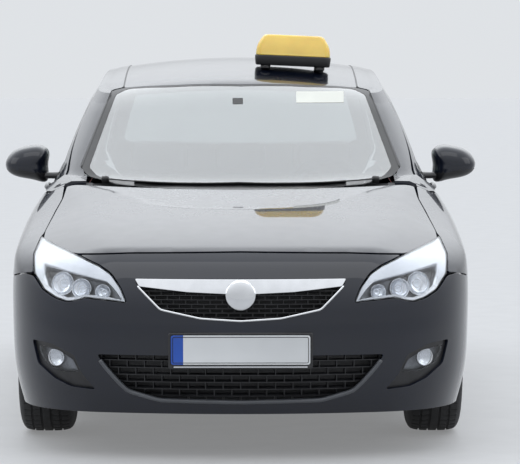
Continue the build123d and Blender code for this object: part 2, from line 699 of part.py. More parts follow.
def make_sign_base():
    base = Pos(0, 0, 37) * Box(337, 170, 44)
    base = fillet(base.edges().filter_by(Axis.Z), 30)
    feet = [Pos(x, y, 9) * Cylinder(22, 14) for x in (-120, 120) for y in (-55, 55)]
    return sign_place() * (base + feet) - form(0)


def make_sign_box():
    low = Pos(0, 0, 59.2) * RectangleRounded(330, 150, 28)
    middle = Pos(0, 0, 105) * RectangleRounded(318, 120, 28)
    high = Pos(0, 0, 152) * RectangleRounded(262, 74, 28)
    return sign_place() * loft([low, middle, high])


def make_front_plate():
    return block(-260, 260, -2216, -2210.5, 368, 478)


def make_plate_holder():
    return block(-270, 270, -2210, -2196.5, 352, 488)


# The two wipers meet at the middle of the glass: pivot x, tip x, height above the glass's foot at pivot and tip
WIPERS = [(560, 30, 12, 40), (-560, -40, 12, 40)]


def screen_point(x, z, out):
    """A point on the windscreen at a given x and height, moved out along the glass's midplane normal."""
    for low, high in zip(CABIN_SLICES, CABIN_SLICES[1:]):
        if low[0] <= z <= high[0]:
            share = (z - low[0]) / (high[0] - low[0])
            width, nose, turn = (low[i] + share * (high[i] - low[i]) for i in (1, 2, 4))
            radius = CABIN_FRONT_SHARE * width / sin(radians(turn))
            return x, nose + radius - (radius**2 - x**2) ** 0.5 - 0.48 * out, z + 0.87 * out


def make_wiper(pivot_x, tip_x, pivot_rise, tip_rise):
    """A wiper blade lying along the foot of the windscreen, swept as a bar from its arm's pivot to its tip."""
    spots = []
    for share in (0, 0.25, 0.5, 0.75, 1):
        x = pivot_x + share * (tip_x - pivot_x)
        foot = 966 + 40 * (abs(x) / 630) ** 2.5
        spots.append(screen_point(x, foot + pivot_rise + share * (tip_rise - pivot_rise), 12))
    path = Spline(*spots)
    return sweep(Plane(path @ 0, z_dir=path % 0) * Rectangle(10, 10), path)


def make_parts():
    """Every piece in its place. Left side pieces are built and right side ones mirrored from them."""
    parts = {}
    for name, shape in [
        ("front_wing", make_front_wing()),
        ("side_frame", make_side_frame()),
        ("rear_quarter", make_rear_quarter()),
        ("front_door", make_door(front_door_zone, FRONT_WINDOW, *FRONT_HANDLE)),
        ("rear_door", make_door(rear_door_zone, REAR_WINDOW, *REAR_HANDLE)),
        ("front_door_glass", make_door_glass(FRONT_WINDOW)),
        ("rear_door_glass", make_door_glass(REAR_WINDOW)),
        ("door_mirror", make_mirror()),
        ("knuckle", make_knuckle()),
        ("front_rim", Pos(FRONT_TRACK_X, FRONT_AXLE_Y, AXLE_Z) * make_rim()),
        ("front_tyre", Pos(FRONT_TRACK_X, FRONT_AXLE_Y, AXLE_Z) * make_tyre()),
        ("rear_rim", Pos(REAR_TRACK_X, REAR_AXLE_Y, AXLE_Z) * make_rim()),
        ("rear_tyre", Pos(REAR_TRACK_X, REAR_AXLE_Y, AXLE_Z) * make_tyre()),
    ]:
        parts[name + "_left"] = shape
        parts[name + "_right"] = mirrored(shape)
    liners = make_arch_liner(FRONT_AXLE_Y, 386, 640) + make_arch_liner(REAR_AXLE_Y, 362, 645)
    parts["arch_liners"] = both(liners)
    parts["inner_wings"] = both(make_inner_wing())
    parts["headlamps"] = both(make_headlamp())
    parts["headlamp_lenses"] = both(skin(lamp_zone(0), GLASS))
    parts["fog_lamps"] = both(make_fog_lamp())
    parts["tail_lamps"] = both(skin(tail_lamp_zone(0), 24))
    seat_left = seat(140, 620, FRONT_CUSHION, FRONT_BACK, [380])
    parts["front_seats"] = both(seat_left)
    parts["rear_seat"] = seat(-600, 600, REAR_CUSHION, REAR_BACK, [-380, 0, 380])
    for name, make in [
        ("bonnet", make_bonnet), ("front_bumper", make_front_bumper), ("rear_bumper", make_rear_bumper),
        ("roof_panel", make_roof), ("windscreen", make_windscreen), ("cowl_tray", make_cowl),
        ("tailgate", make_tailgate), ("tailgate_glass", make_tail_glass), ("grille_bar", make_grille_bar),
        ("floor_pan", make_floor), ("bulkhead", make_bulkhead), ("exhaust", make_exhaust), ("engine", make_engine),
        ("radiator", make_radiator), ("fuel_tank", make_fuel_tank), ("front_subframe", make_front_subframe),
        ("rear_axle", make_rear_axle), ("dashboard", make_dashboard), ("steering_wheel", make_steering_wheel),
        ("sign_base", make_sign_base), ("sign_box", make_sign_box), ("number_plates", make_front_plate),
    ]:
        parts[name] = make()
    upper = make_grille(UPPER_MESH, 34, 11, 3.5, -2158, 2150)
    lower = make_grille(LOWER_GRILLE, 60, 26, 6, -2178, 1900)
    parts["grilles"] = Compound(children=[*upper.solids(), *lower.solids(), *make_plate_holder().solids()])
    parts["wipers"] = Compound(children=[make_wiper(*row) for row in WIPERS])
    return parts


if __name__ == "__main__":
    folder = os.path.join(os.path.dirname(os.path.abspath(__file__)), "parts")
    os.makedirs(folder, exist_ok=True)
    for old in os.listdir(folder):
        os.remove(os.path.join(folder, old))
    for name, shape in make_parts().items():
        shape.label = name
        export_step(shape, os.path.join(folder, name + ".step"))
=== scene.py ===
import bpy
import numpy as np
from math import radians, pi
from mathutils.geometry import delaunay_2d_cdt
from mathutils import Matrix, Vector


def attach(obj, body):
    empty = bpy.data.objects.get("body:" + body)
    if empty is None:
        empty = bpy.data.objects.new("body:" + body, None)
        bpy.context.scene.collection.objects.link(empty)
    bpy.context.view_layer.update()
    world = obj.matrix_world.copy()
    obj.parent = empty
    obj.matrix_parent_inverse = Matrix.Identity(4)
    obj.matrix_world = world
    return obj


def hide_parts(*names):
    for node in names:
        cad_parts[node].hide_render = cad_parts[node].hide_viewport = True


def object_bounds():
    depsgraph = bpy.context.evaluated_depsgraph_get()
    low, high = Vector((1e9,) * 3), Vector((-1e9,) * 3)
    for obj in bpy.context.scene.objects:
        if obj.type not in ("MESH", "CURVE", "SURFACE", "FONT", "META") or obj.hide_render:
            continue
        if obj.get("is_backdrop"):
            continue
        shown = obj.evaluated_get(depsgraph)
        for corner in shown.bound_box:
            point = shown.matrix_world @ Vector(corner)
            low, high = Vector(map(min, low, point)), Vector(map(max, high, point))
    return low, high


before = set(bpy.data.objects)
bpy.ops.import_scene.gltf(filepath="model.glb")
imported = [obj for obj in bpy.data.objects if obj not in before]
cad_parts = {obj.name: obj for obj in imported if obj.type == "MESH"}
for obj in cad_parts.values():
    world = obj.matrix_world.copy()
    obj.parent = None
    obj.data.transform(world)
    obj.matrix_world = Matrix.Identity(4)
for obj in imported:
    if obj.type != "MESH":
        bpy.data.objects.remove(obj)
cad_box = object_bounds()
scene = bpy.context.scene
scene.view_settings.view_transform = "Standard"

# The place where the car stands: a pale floor, and a long lens square to the nose, at about head height.
# The lamps are soft sheets, so the dark paint carries long quiet reflections.
camera = bpy.data.cameras.new("front_view")
camera.lens = 205.1
camera.clip_end = 200
eye = bpy.data.objects.new("front_view", camera)
eye.location = (0, -13.2, 1.6)
eye.rotation_euler = (radians(90 - 3.83), 0, radians(-0.377))
scene.collection.objects.link(eye)
scene.camera = eye


def node_into(tree, kind, target, socket, source="Color", **values):
    """Adds one shader node, sets its inputs by name, and links its output `source` to a socket of `target`."""
    node = tree.nodes.new(kind)
    for key, value in values.items():
        if hasattr(node, key):
            setattr(node, key, value)
        else:
            node.inputs[key.replace("_", " ")].default_value = value
    if target:
        tree.links.new(node.outputs[source], target.inputs[socket])
    return node


def finish(name, color, roughness, mottle=0.12, broad=7.0, bump=0.15, grain=350.0, depth=0.0004, **sockets):
    """A Principled surface whose colour wavers by `mottle` with a broad noise, and whose skin is lifted by a fine noise
    of `grain` per metre. Both read Object coordinates. The other sockets are set by name."""
    material = bpy.data.materials.new(name)
    material.use_nodes = True
    tree = material.node_tree
    shader = tree.nodes["Principled BSDF"]
    shader.inputs["Roughness"].default_value = roughness
    for key, value in sockets.items():
        shader.inputs[key.replace("_", " ")].default_value = value
    place = tree.nodes.new("ShaderNodeTexCoord")
    ramp = node_into(tree, "ShaderNodeValToRGB", shader, "Base Color")
    ramp.color_ramp.elements[0].position = 0.35
    ramp.color_ramp.elements[1].position = 0.68
    ramp.color_ramp.elements[0].color = (*[c * (1 - mottle) for c in color], 1)
    ramp.color_ramp.elements[1].color = (*[min(c * (1 + mottle), 1) for c in color], 1)
    cloud = node_into(tree, "ShaderNodeTexNoise", ramp, "Fac", "Fac", Scale=broad, Detail=5.0)
    tree.links.new(place.outputs["Object"], cloud.inputs["Vector"])
    if bump:
        lift = node_into(tree, "ShaderNodeBump", shader, "Normal", "Normal", Strength=bump, Distance=depth)
        grit = node_into(tree, "ShaderNodeTexNoise", lift, "Height", "Fac", Scale=grain, Detail=3.0)
        tree.links.new(place.outputs["Object"], grit.inputs["Vector"])
    return material


def in_sight(tree, target, socket):
    """1 for the camera's rays and for those that metal and glass send on, and 0 for soft light: the greatest of three
    Light Path outputs."""
    seen = tree.nodes.new("ShaderNodeLightPath")
    last = node_into(tree, "ShaderNodeMath", target, socket, "Value", operation="MAXIMUM")
    first = node_into(tree, "ShaderNodeMath", last, 0, "Value", operation="MAXIMUM")
    tree.links.new(seen.outputs["Is Camera Ray"], first.inputs[0])
    tree.links.new(seen.outputs["Is Glossy Ray"], first.inputs[1])
    tree.links.new(seen.outputs["Is Transmission Ray"], last.inputs[1])


floor_finish = finish("pale_floor", (0.5, 0.5, 0.5), 0.6, mottle=0.03, bump=0.1, grain=60)
shown = floor_finish.node_tree
mixed = shown.nodes.new("ShaderNodeMixShader")
node_into(shown, "ShaderNodeEmission", mixed, 2, "Emission", Color=(0.86, 0.87, 0.88, 1), Strength=1.0)
shown.links.new(shown.nodes["Principled BSDF"].outputs[0], mixed.inputs[1])
fade = node_into(shown, "ShaderNodeMath", mixed, "Fac", "Value", operation="MULTIPLY")
in_sight(shown, fade, 0)
fade.inputs[1].default_value = 0.25
shown.links.new(mixed.outputs[0], shown.nodes["Material Output"].inputs["Surface"])
floor_mesh = bpy.data.meshes.new("floor")
floor_mesh.from_pydata([(-40, -30, 0), (40, -30, 0), (40, 60, 0), (-40, 60, 0)], [], [(0, 1, 2, 3)])
floor_mesh.materials.append(floor_finish)
floor = bpy.data.objects.new("floor", floor_mesh)
scene.collection.objects.link(floor)
floor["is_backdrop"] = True

sky = bpy.data.worlds.new("studio")
scene.world = sky
sky.use_nodes = True
sky_tree = sky.node_tree
open_sky = sky_tree.nodes["Background"]
around = sky_tree.nodes.new("ShaderNodeTexCoord")
split = node_into(sky_tree, "ShaderNodeSeparateXYZ", None, None)
sky_tree.links.new(around.outputs["Generated"], split.inputs["Vector"])
tint = node_into(sky_tree, "ShaderNodeValToRGB", open_sky, "Color")
tint.color_ramp.elements[0].position, tint.color_ramp.elements[1].position = 0.25, 0.8
tint.color_ramp.elements[0].color, tint.color_ramp.elements[1].color = (0.3, 0.32, 0.35, 1), (0.88, 0.93, 1, 1)
behind = node_into(sky_tree, "ShaderNodeMapRange", tint, "Fac", "Result", From_Min=-1.0, From_Max=1.0)
sky_tree.links.new(split.outputs["Y"], behind.inputs["Value"])
rise = node_into(
    sky_tree, "ShaderNodeMapRange", open_sky, "Strength", "Result",
    From_Min=0.3, From_Max=0.95, To_Min=0.8, To_Max=2.75,
)
sky_tree.links.new(split.outputs["Z"], rise.inputs["Value"])
pale = node_into(sky_tree, "ShaderNodeBackground", None, None, Color=(0.925, 0.955, 0.99, 1))
cloud = node_into(sky_tree, "ShaderNodeMath", pale, "Strength", "Value", operation="MULTIPLY_ADD")
cloud.inputs[2].default_value = 0.8
cloud_rise = node_into(sky_tree, "ShaderNodeMapRange", cloud, 0, "Result", From_Min=0.12, From_Max=0.55)
sky_tree.links.new(split.outputs["Z"], cloud_rise.inputs["Value"])
cloud_back = node_into(
    sky_tree, "ShaderNodeMapRange", cloud, 1, "Result", From_Min=-1.0, From_Max=1.0, To_Min=0.3, To_Max=1.45,
)
sky_tree.links.new(split.outputs["Y"], cloud_back.inputs["Value"])
either = node_into(sky_tree, "ShaderNodeMixShader", sky_tree.nodes["World Output"], "Surface", "Shader")
sky_tree.links.new(open_sky.outputs[0], either.inputs[1])
sky_tree.links.new(pale.outputs[0], either.inputs[2])
in_sight(sky_tree, either, "Fac")
sheets = [
    ("overhead", (0, -4.5, 6.0), (radians(30), 0, 0), (6.0, 4.0), 60),
    ("left_side", (5.5, -3.0, 3.0), (0, radians(62), radians(-25)), (3.0, 4.0), 34),
    ("right_side", (-5.5, -3.0, 3.0), (0, radians(-62), radians(25)), (3.0, 4.0), 34),
]
for name, place, turn, size, power in sheets:
    lamp = bpy.data.lights.new(name, "AREA")
    lamp.shape = "RECTANGLE"
    lamp.size, lamp.size_y = size
    lamp.energy = power
    lamp_object = bpy.data.objects.new(name, lamp)
    lamp_object.location = place
    lamp_object.rotation_euler = turn
    scene.collection.objects.link(lamp_object)

# The painted shell is one surface from nose to tail: a stack of plan outlines below the belt, the bonnet's sections
# cut down into it, and the glasshouse under its roof. Every pressed panel is laid on that surface, in metres.
LOWER = np.array([
    (165, 862, -2128, 2125), (300, 893, -2190, 2188), (480, 905, -2210, 2210), (660, 907, -2184, 2200),
    (790, 893, -2108, 2165), (900, 850, -2010, 2105), (1010, 768, -1900, 2012),
]) / 1000
CABIN = np.array([
    (640, 872, -1660, 2080), (900, 828, -1182, 2068), (1100, 768, -824, 2012),
    (1250, 704, -552, 1925), (1400, 625, -283, 1830), (1540, 530, -40, 1730),
]) / 1000
SCREEN_TURN = np.radians([26, 25, 23, 20, 17, 15])
BONNET = np.array([
    (-2300, 722, 480, 700, 560), (-2000, 811, 530, 790, 656), (-1660, 883, 590, 862, 760),
    (-1300, 940, 645, 924, 822), (-900, 1003, 705, 996, 890), (-600, 1046, 745, 1032, 940),
]) / 1000


def spline(at, knots, values):
    """Natural cubic through (knots, values) at every number in `at`. The second slopes solve the three-term equations,
    and each span is a cubic in the distances from its two ends."""
    n, h = len(knots), np.diff(knots)
    rows = np.arange(1, n - 1)
    left, right = np.eye(n), np.zeros(n)
    left[rows, rows - 1], left[rows, rows], left[rows, rows + 1] = h[:-1], 2 * (h[:-1] + h[1:]), h[1:]
    right[1:-1] = 6 * np.diff(np.diff(values) / h)
    bend = np.linalg.solve(left, right)
    at = np.clip(at, knots[0], knots[-1])
    k = np.clip(np.searchsorted(knots, at) - 1, 0, n - 2)
    a, b = knots[k + 1] - at, at - knots[k]
    near, far = values[k] / h[k] - bend[k] * h[k] / 6, values[k + 1] / h[k] - bend[k + 1] * h[k] / 6
    return (bend[k] * a**3 + bend[k + 1] * b**3) / (6 * h[k]) + near * a + far * b


def blend_low(a, b, reach):
    """The lesser of two heights, rounded where they are within `reach` of each other."""
    return np.minimum(a, b) - np.maximum(reach - np.abs(a - b), 0) ** 2 / (4 * reach)


def quarter_depth(x, inside, width, length, radius, turn, side_turn):
    """Distance in from three tangent arcs that run from an end's middle to the widest point: the arc that the point
    faces is found from its angle, and the depth is that arc's radius less the distance to its centre."""
    s1, c1, s2, c2 = np.sin(turn), np.cos(turn), np.sin(side_turn), np.cos(side_turn)
    a, b, p = s2 - s1, 1 - s2, width - radius * s1
    c, d, q = c1 - c2, c2, length - radius * (1 - c1)
    det = a * d - b * c
    corner, side = (p * d - b * q) / det, (a * q - p * c) / det
    corner_x, corner_y = (radius - corner) * s1, radius - (radius - corner) * c1
    side_x, side_y = corner_x + (corner - side) * s2, corner_y + (side - corner) * c2
    from_nose = radius - np.hypot(x, inside - radius)
    from_corner = corner - np.hypot(x - corner_x, inside - corner_y)
    from_side = side - np.hypot(x - side_x, inside - side_y)
    facing = np.arctan2(x - corner_x, corner_y - inside)
    return np.where(facing < turn, from_nose, np.where(facing > side_turn, from_side, from_corner))


def body_depth(x, y, z):
    """How far a point lies below the painted surface: (plan stack, under the bonnet) joined to (glasshouse, under the
    roof), with soft joints."""
    x = np.abs(x)
    width, nose, tail = (spline(z, LOWER[:, 0], LOWER[:, k]) for k in (1, 2, 3))
    front = quarter_depth(x, y - nose, width, -0.1 - nose, 2.2, radians(14), radians(88.5))
    rear = quarter_depth(x, tail - y, width, tail + 0.1, 2.6, radians(12), radians(88.5))
    stack = np.minimum(np.where(y < -0.1, front, rear), np.minimum(z - 0.165, 1.012 - z))
    centre, crease, crease_z, edge = (spline(y, BONNET[:, 0], BONNET[:, k]) for k in (1, 2, 3, 4))
    crown = crease**2 / (2 * (centre - crease_z))
    top = blend_low(centre - x**2 / (2 * crown), crease_z - (x - crease) * (crease_z - edge) / (0.95 - crease), 0.012)
    hull = np.where(y < -0.6, blend_low(stack, top - z, 0.05), stack)
    width, nose, tail = (spline(z, CABIN[:, 0], CABIN[:, k]) for k in (1, 2, 3))
    turn = spline(z, CABIN[:, 0], SCREEN_TURN)
    glass = quarter_depth(x, y - nose, width, 0.45 - nose, 0.78 * width / np.sin(turn), turn, radians(86))
    back = quarter_depth(x, tail - y, width, tail - 0.45, 0.78 * width / np.sin(radians(22)), radians(22), radians(86))
    swing = np.where(y < 0.65, 4.4, 7.16)
    crown = swing - x**2 / (2 * 3.376)
    lid = 1.49 - swing + np.sqrt(np.maximum(crown**2 - (y - 0.65) ** 2, 0)) - z
    cabin = blend_low(np.where(y < 0.45, glass, back), lid, 0.05)
    return -blend_low(-hull, -cabin, 0.03)


def settle(outside, inside):
    """Where the line from an outside point to an inside point meets the shell, by halving the span 26 times."""
    for _ in range(26):
        middle = (outside + inside) / 2
        within = (body_depth(*middle.T) > 0)[:, None]
        inside, outside = np.where(within, middle, inside), np.where(within, outside, middle)
    return (outside + inside) / 2


VIEWS = {
    "side": ((1, 0, 0), (0, 0, 0), (0, 1, 0), (0, 0, 1)),
    "front": ((0, -1, 0), (0, 0.3, 0), (1, 0, 0), (0, 0, 1)),
    "back": ((0, 1, 0), (0, 0.6, 0), (1, 0, 0), (0, 0, 1)),
    "plan": ((0, 0, 1), (0, 0, 0.5), (1, 0, 0), (0, 1, 0)),
}
for name, look, core in [
    ("wing", (1, -0.5, 0.6), (0.3, -1.3, 0.5)), ("pillar", (1, -0.55, 0.9), (0.1, 0.2, 0.75)),
    ("quarter", (1, 0.7, 0.6), (0.2, 1.2, 0.8)), ("hatch", (0, 1, 0.8), (0, 1.2, 0.8)),
    ("screen", (0, -0.5, 0.87), (0, 0, 0.6)),
]:
    look = np.array(look) / np.linalg.norm(look)
    level = np.cross((0, 0, 1), look) / np.linalg.norm(np.cross((0, 0, 1), look))
    VIEWS[name] = (look, core, level, np.cross(look, level))
ROUND = {"nose": -1, "stern": 1}


def rays(view, flat):
    """Start and end of the ray through each flat point. A straight view runs along its own direction to the plane
    through its core. The nose and stern views turn round an upright 1.5 m ahead of and behind the middle."""
    u, v = flat.T
    if view in ROUND:
        way, o = ROUND[view], np.zeros_like(u)
        return np.c_[1.3 * np.sin(u), way * (1.5 + 1.3 * np.cos(u)), v], np.c_[o, o + way * 1.5, v]
    look, core, first, second = map(np.array, VIEWS[view])
    end = u[:, None] * first + v[:, None] * second + np.dot(core, look) * look
    return end + 3.0 * look, end


def flatten(view, p):
    """The flat coordinates of points in space, for the same views."""
    if view in ROUND:
        return np.c_[np.arctan2(p[:, 0], ROUND[view] * p[:, 1] - 1.5), p[:, 2]]
    return np.c_[p @ np.array(VIEWS[view][2]), p @ np.array(VIEWS[view][3])]


def seam(corners, view, pitch=0.008, soft=5, grow=0.0, whole=False):
    """A closed line on the shell from its corner points, in mm, where None is the coordinate to find. Each side is
    divided at `pitch` and laid on the shell. A whole line has its mirror image added. Then it is spaced evenly, eased
    by averaging neighbours `soft` times, moved out by `grow` in the shell's own surface, and laid on it again."""
    known = np.array(corners, float) / 1000
    lost = np.argmax(np.isnan(known), axis=1)
    runs = []
    for k in range(len(known) - whole):
        a, b, same = known[k], known[(k + 1) % len(known)], lost[k] == lost[(k + 1) % len(known)]
        steps = max(int(np.sqrt(np.nansum((b - a) ** 2)) / pitch), 1) if same else 1
        shift = np.nan_to_num(b - a) if same else 0 * np.nan_to_num(a)
        runs.append(a + np.linspace(0, 1, steps, endpoint=False)[:, None] * shift)
    points = np.concatenate(runs + [known[-1:]] * whole)
    lost = np.argmax(np.isnan(points), axis=1)
    given = known[~np.isnan(known[:, 1]), 1]
    rear = (len(given) > 0 and given.mean() > 0.5) or view in ("stern", "hatch")
    for column, kind, pick in ((0, "side", [1, 2]), (1, "back" if rear else "front", [0, 2]), (2, "plan", [0, 1])):
        if (lost == column).any():
            points[lost == column] = settle(*rays(kind, points[lost == column][:, pick]))
    if whole:
        points = np.concatenate([points, points[-2:0:-1] * (-1, 1, 1)])
    closed = np.vstack([points, points[:1]])
    along = np.r_[0, np.cumsum(np.linalg.norm(np.diff(closed, axis=0), axis=1))]
    at = np.linspace(0, along[-1], int(along[-1] / pitch), endpoint=False)
    points = np.stack([np.interp(at, along, closed[:, k]) for k in range(3)], axis=1)
    for _ in range(soft):
        points = (np.roll(points, 1, axis=0) + 2 * points + np.roll(points, -1, axis=0)) / 4
    if grow:
        tangent = np.roll(points, -1, axis=0) - np.roll(points, 1, axis=0)
        aside = np.cross(tangent, shell_normal(points))
        aside /= np.linalg.norm(aside, axis=1)[:, None]
        points = points + grow * aside * np.sign((aside * (points - points.mean(axis=0))).sum())
    return settle(*rays(view, flatten(view, points)))


def within(points, loop):
    """True for each flat point that is inside a closed loop: it sees an odd number of the loop's sides to its right."""
    a, b = loop, np.roll(loop, -1, axis=0)
    x, y = points[:, :1], points[:, 1:]
    spans = (a[:, 1] > y) != (b[:, 1] > y)
    rise = np.where(b[:, 1] == a[:, 1], 1, b[:, 1] - a[:, 1])
    return (spans & (x < a[:, 0] + (y - a[:, 1]) * (b[:, 0] - a[:, 0]) / rise)).sum(axis=1) % 2 == 1


def mesh_piece(name, points, faces, body, material, smooth=True):
    """A mesh object at the origin, from an array of points and a list of faces, riding on a body."""
    mesh = bpy.data.meshes.new(name)
    mesh.from_pydata(points.tolist(), [], faces.tolist() if isinstance(faces, np.ndarray) else faces)
    mesh.polygons.foreach_set("use_smooth", np.full(len(mesh.polygons), smooth))
    for one in material if isinstance(material, list) else [material]:
        mesh.materials.append(one)
    piece = bpy.data.objects.new(name, mesh)
    scene.collection.objects.link(piece)
    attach(piece, body)
    return piece


def cells(rings, around, ring_closed=False, lids=False):
    """Four-sided faces between neighbouring rings of points, where each ring is closed: they face outwards if a ring
    runs anticlockwise about the way the rings advance. Lids close the first and last ring."""
    i, j = np.meshgrid(np.arange(rings if ring_closed else rings - 1), np.arange(around), indexing="ij")
    after, beside = (i + 1) % rings, (j + 1) % around
    faces = np.stack([i * around + j, i * around + beside, after * around + beside, after * around + j], axis=-1)
    ends = [list(range(around))[::-1], list(range((rings - 1) * around, rings * around))] if lids else []
    return faces.reshape(-1, 4).tolist() + ends


def lay(loops, view, pitch, sink=0.0):
    """Points and triangles of the shell inside the first loop and outside the others: a square grid in the view's
    two coordinates, joined to the loops' own points, then laid on the shell and sunk below it."""
    flats = [flatten(view, loop) for loop in loops]
    scale = (0.75, 1) if view in ROUND else (1, 1)
    low, high = flats[0].min(axis=0), flats[0].max(axis=0)
    u, v = (np.arange(low[k], high[k], pitch / scale[k]) for k in (0, 1))
    grid = np.stack(np.meshgrid(u, v, indexing="ij"), axis=-1).reshape(-1, 2)
    keep = within(grid, flats[0])
    for flat in flats[1:]:
        keep &= ~within(grid, flat)
    grid = grid[keep]
    edge = np.concatenate(flats)
    for part in np.array_split(np.arange(len(edge)), max(len(edge) // 200, 1)):
        away = np.hypot(*((grid[:, None] - edge[None, part]) * scale).transpose(2, 0, 1)).min(axis=1)
        grid = grid[away > 0.55 * pitch]
    first = np.cumsum([0] + [len(flat) for flat in flats])
    sides = [(np.arange(n) + s, (np.arange(n) + 1) % n + s) for s, n in zip(first, map(len, flats))]
    links = np.concatenate([np.stack(pair, axis=1) for pair in sides])
    found = delaunay_2d_cdt(np.vstack([edge, grid]).tolist(), links.tolist(), [], 1, 1e-7)
    flat, faces = np.array([tuple(p) for p in found[0]]), np.array(found[2])
    middle = flat[faces].mean(axis=1)
    keep = within(middle, flats[0])
    for loop in flats[1:]:
        keep &= ~within(middle, loop)
    start, end = rays(view, flat)
    points = settle(start, end)
    faces = faces[keep]
    a, b, c = (points[faces[:, k]] for k in range(3))
    out = ((np.cross(b - a, c - a) * (start - end)[faces[:, 0]]).sum(axis=1)).sum()
    faces = faces if out > 0 else faces[:, ::-1]
    if sink:
        points = points - sink * shell_normal(points)
    return points, faces


def shell_normal(points):
    """Outward direction at points of the shell, from the depth's differences over half a millimetre."""
    step = 0.0005
    slope = np.stack([
        body_depth(*(points + step * axis).T) - body_depth(*(points - step * axis).T) for axis in np.eye(3)
    ], axis=1)
    return -slope / np.linalg.norm(slope, axis=1)[:, None]


def pressed(name, loops, view, body, materials, node=None, pitch=0.02, wall=0.014, roll=0.0022, flip=False, sink=0.0):
    """A panel: the shell between its loops, thickened inwards by `wall`, with its edges rolled over."""
    points, faces = lay(loops, view, pitch, sink)
    if flip:
        points, faces = points * (-1, 1, 1), faces[:, ::-1]
    piece = mesh_piece(name, points, faces, body, materials)
    shell = piece.modifiers.new("wall", "SOLIDIFY")
    shell.thickness = wall
    shell.offset = -1
    shell.material_offset = 1 if isinstance(materials, list) else 0
    rim = piece.modifiers.new("rolled_edge", "BEVEL")
    rim.width = roll
    rim.segments = 2
    rim.limit_method = "ANGLE"
    rim.angle_limit = radians(50)
    rim.harden_normals = True
    if node:
        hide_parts(node)
    return piece


paint = finish(
    "deep_blue_black_paint", (0.0028, 0.0055, 0.015), 0.32, mottle=0.12, broad=3.0, bump=0,
    Coat_Weight=1.0, Coat_Roughness=0.02, Metallic=0.0, Specular_IOR_Level=0.1,
)
paint_tree = paint.node_tree
flake_ramp = node_into(
    paint_tree, "ShaderNodeMapRange", paint_tree.nodes["Principled BSDF"], "Roughness", "Result",
    From_Min=0.3, From_Max=0.7, To_Min=0.3, To_Max=0.34,
)
flake = node_into(paint_tree, "ShaderNodeTexNoise", flake_ramp, "Value", "Fac", Scale=14.0, Detail=6.0)
paint_tree.links.new(paint_tree.nodes["Texture Coordinate"].outputs["Object"], flake.inputs["Vector"])
trim = finish("dark_cabin_trim", (0.03, 0.03, 0.033), 0.62, bump=0.35, grain=700, depth=0.0006)

# The bonnet: one pressing painted like the body, with an even gap on each side. Corner points are in mm, and N
# stands for the coordinate that the shell gives.
N = None
bonnet_seam = [
    (0, -1130, N), (250, -1112, N), (450, -1072, N), (600, -1025, N), (716, -988, N), (722, -1150, N), (740, -1300, N),
    (766, -1590, N), (766, N, 806), (700, N, 787), (630, N, 768), (413, N, 778), (0, N, 784),
]


FRONT_AXLE, REAR_AXLE = -1280, 1405


def arch(axle_y, start, stop, radius=360):
    """Corner points of a wheel opening: a circle 330 mm up, from one angle to another in steps of about 5 degrees."""
    turn = np.radians(np.linspace(start, stop, int(abs(stop - start) / 5) + 2))
    return [(N, axle_y + radius * np.cos(a), 330 + radius * np.sin(a)) for a in turn]


pressed(
    "bonnet_skin", [seam(bonnet_seam, "plan", whole=True)], "plan", "bonnet_body", paint, "bonnet", wall=0.02,
)

# The front wings, from the headlamp over the wheel to the door, each one pressing bolted along the bonnet's edge.
wing_seam = seam([
    (N, -854, 326), (N, -862, 700), (N, -855, 938), (N, -962, 945), (729, -962, N), (727, -1150, N), (745, -1300, N),
    (771, -1620, N), (780, N, 810), (798, N, 757), (792, N, 692), (N, -1900, 690), (N, -1618, 651), (N, -1557, 601),
    *arch(FRONT_AXLE, 134, 1),
], "wing", soft=3)
for side, flip in (("left", False), ("right", True)):
    pressed(f"wing_{side}", [wing_seam], "wing", "car_body", paint, f"front_wing_{side}", flip=flip)

# The bumper skins, moulded in one piece each and painted, with the openings for grilles and fog lamps cut through.
lamp_line = [
    (430, N, 598), (452, N, 650), (488, N, 700), (532, N, 730), (603, N, 759), (690, N, 788), (777, N, 812),
    (795, N, 757), (789, N, 692), (747, N, 634), (700, N, 608), (657, N, 596), (622, N, 602), (588, N, 614),
    (500, N, 606),
]
front_bumper_seam = seam([
    (0, N, 779), (413, N, 773), (608, N, 764), (530, N, 734), (484, N, 704), (448, N, 653), (423, N, 594),
    (500, N, 601),
    (586, N, 609), (622, N, 597), (657, N, 591), (703, N, 603), (751, N, 630), (790, N, 680), (N, -1890, 684),
    (N, -1618, 645), (N, -1557, 595),
    *arch(FRONT_AXLE, 136, 206), (N, -1700, 172), (820, N, 172), (700, N, 172), (0, N, 172),
], "nose", soft=3, whole=True)
upper_line = [(0, N, 685), (398, N, 685), (384, N, 655), (300, N, 572), (150, N, 540), (0, N, 531)]
lower_line = [(0, N, 400), (540, N, 400), (512, N, 360), (460, N, 300), (422, N, 262), (303, N, 228), (0, N, 222)]
upper_opening = seam(upper_line, "nose", soft=2, whole=True)
lower_opening = seam(lower_line, "nose", soft=3, whole=True)
fog_line = [
    (545, N, 262), (640, N, 270), (704, N, 298), (770, N, 350), (792, N, 440), (716, N, 432), (628, N, 394),
    (596, N, 322),
]
fog_opening = seam(fog_line, "nose", soft=2)
front_holes = [upper_opening, lower_opening, fog_opening, fog_opening[::-1] * (-1, 1, 1)]
pressed(
    "front_bumper_skin", [front_bumper_seam, *front_holes], "nose", "car_body", paint, "front_bumper", wall=0.012,
)
rear_bumper_seam = seam([
    (0, N, 592), (563, N, 592), (598, N, 637), (608, N, 783), (700, N, 783), (N, 1967, 783), (N, 1893, 635),
    (N, 1692, 551), *arch(REAR_AXLE, 36, -26), (N, 1850, 172), (800, N, 172), (700, N, 172), (0, N, 172),
], "stern", soft=3, whole=True)
pressed("rear_bumper_skin", [rear_bumper_seam], "stern", "car_body", paint, "rear_bumper", wall=0.012)

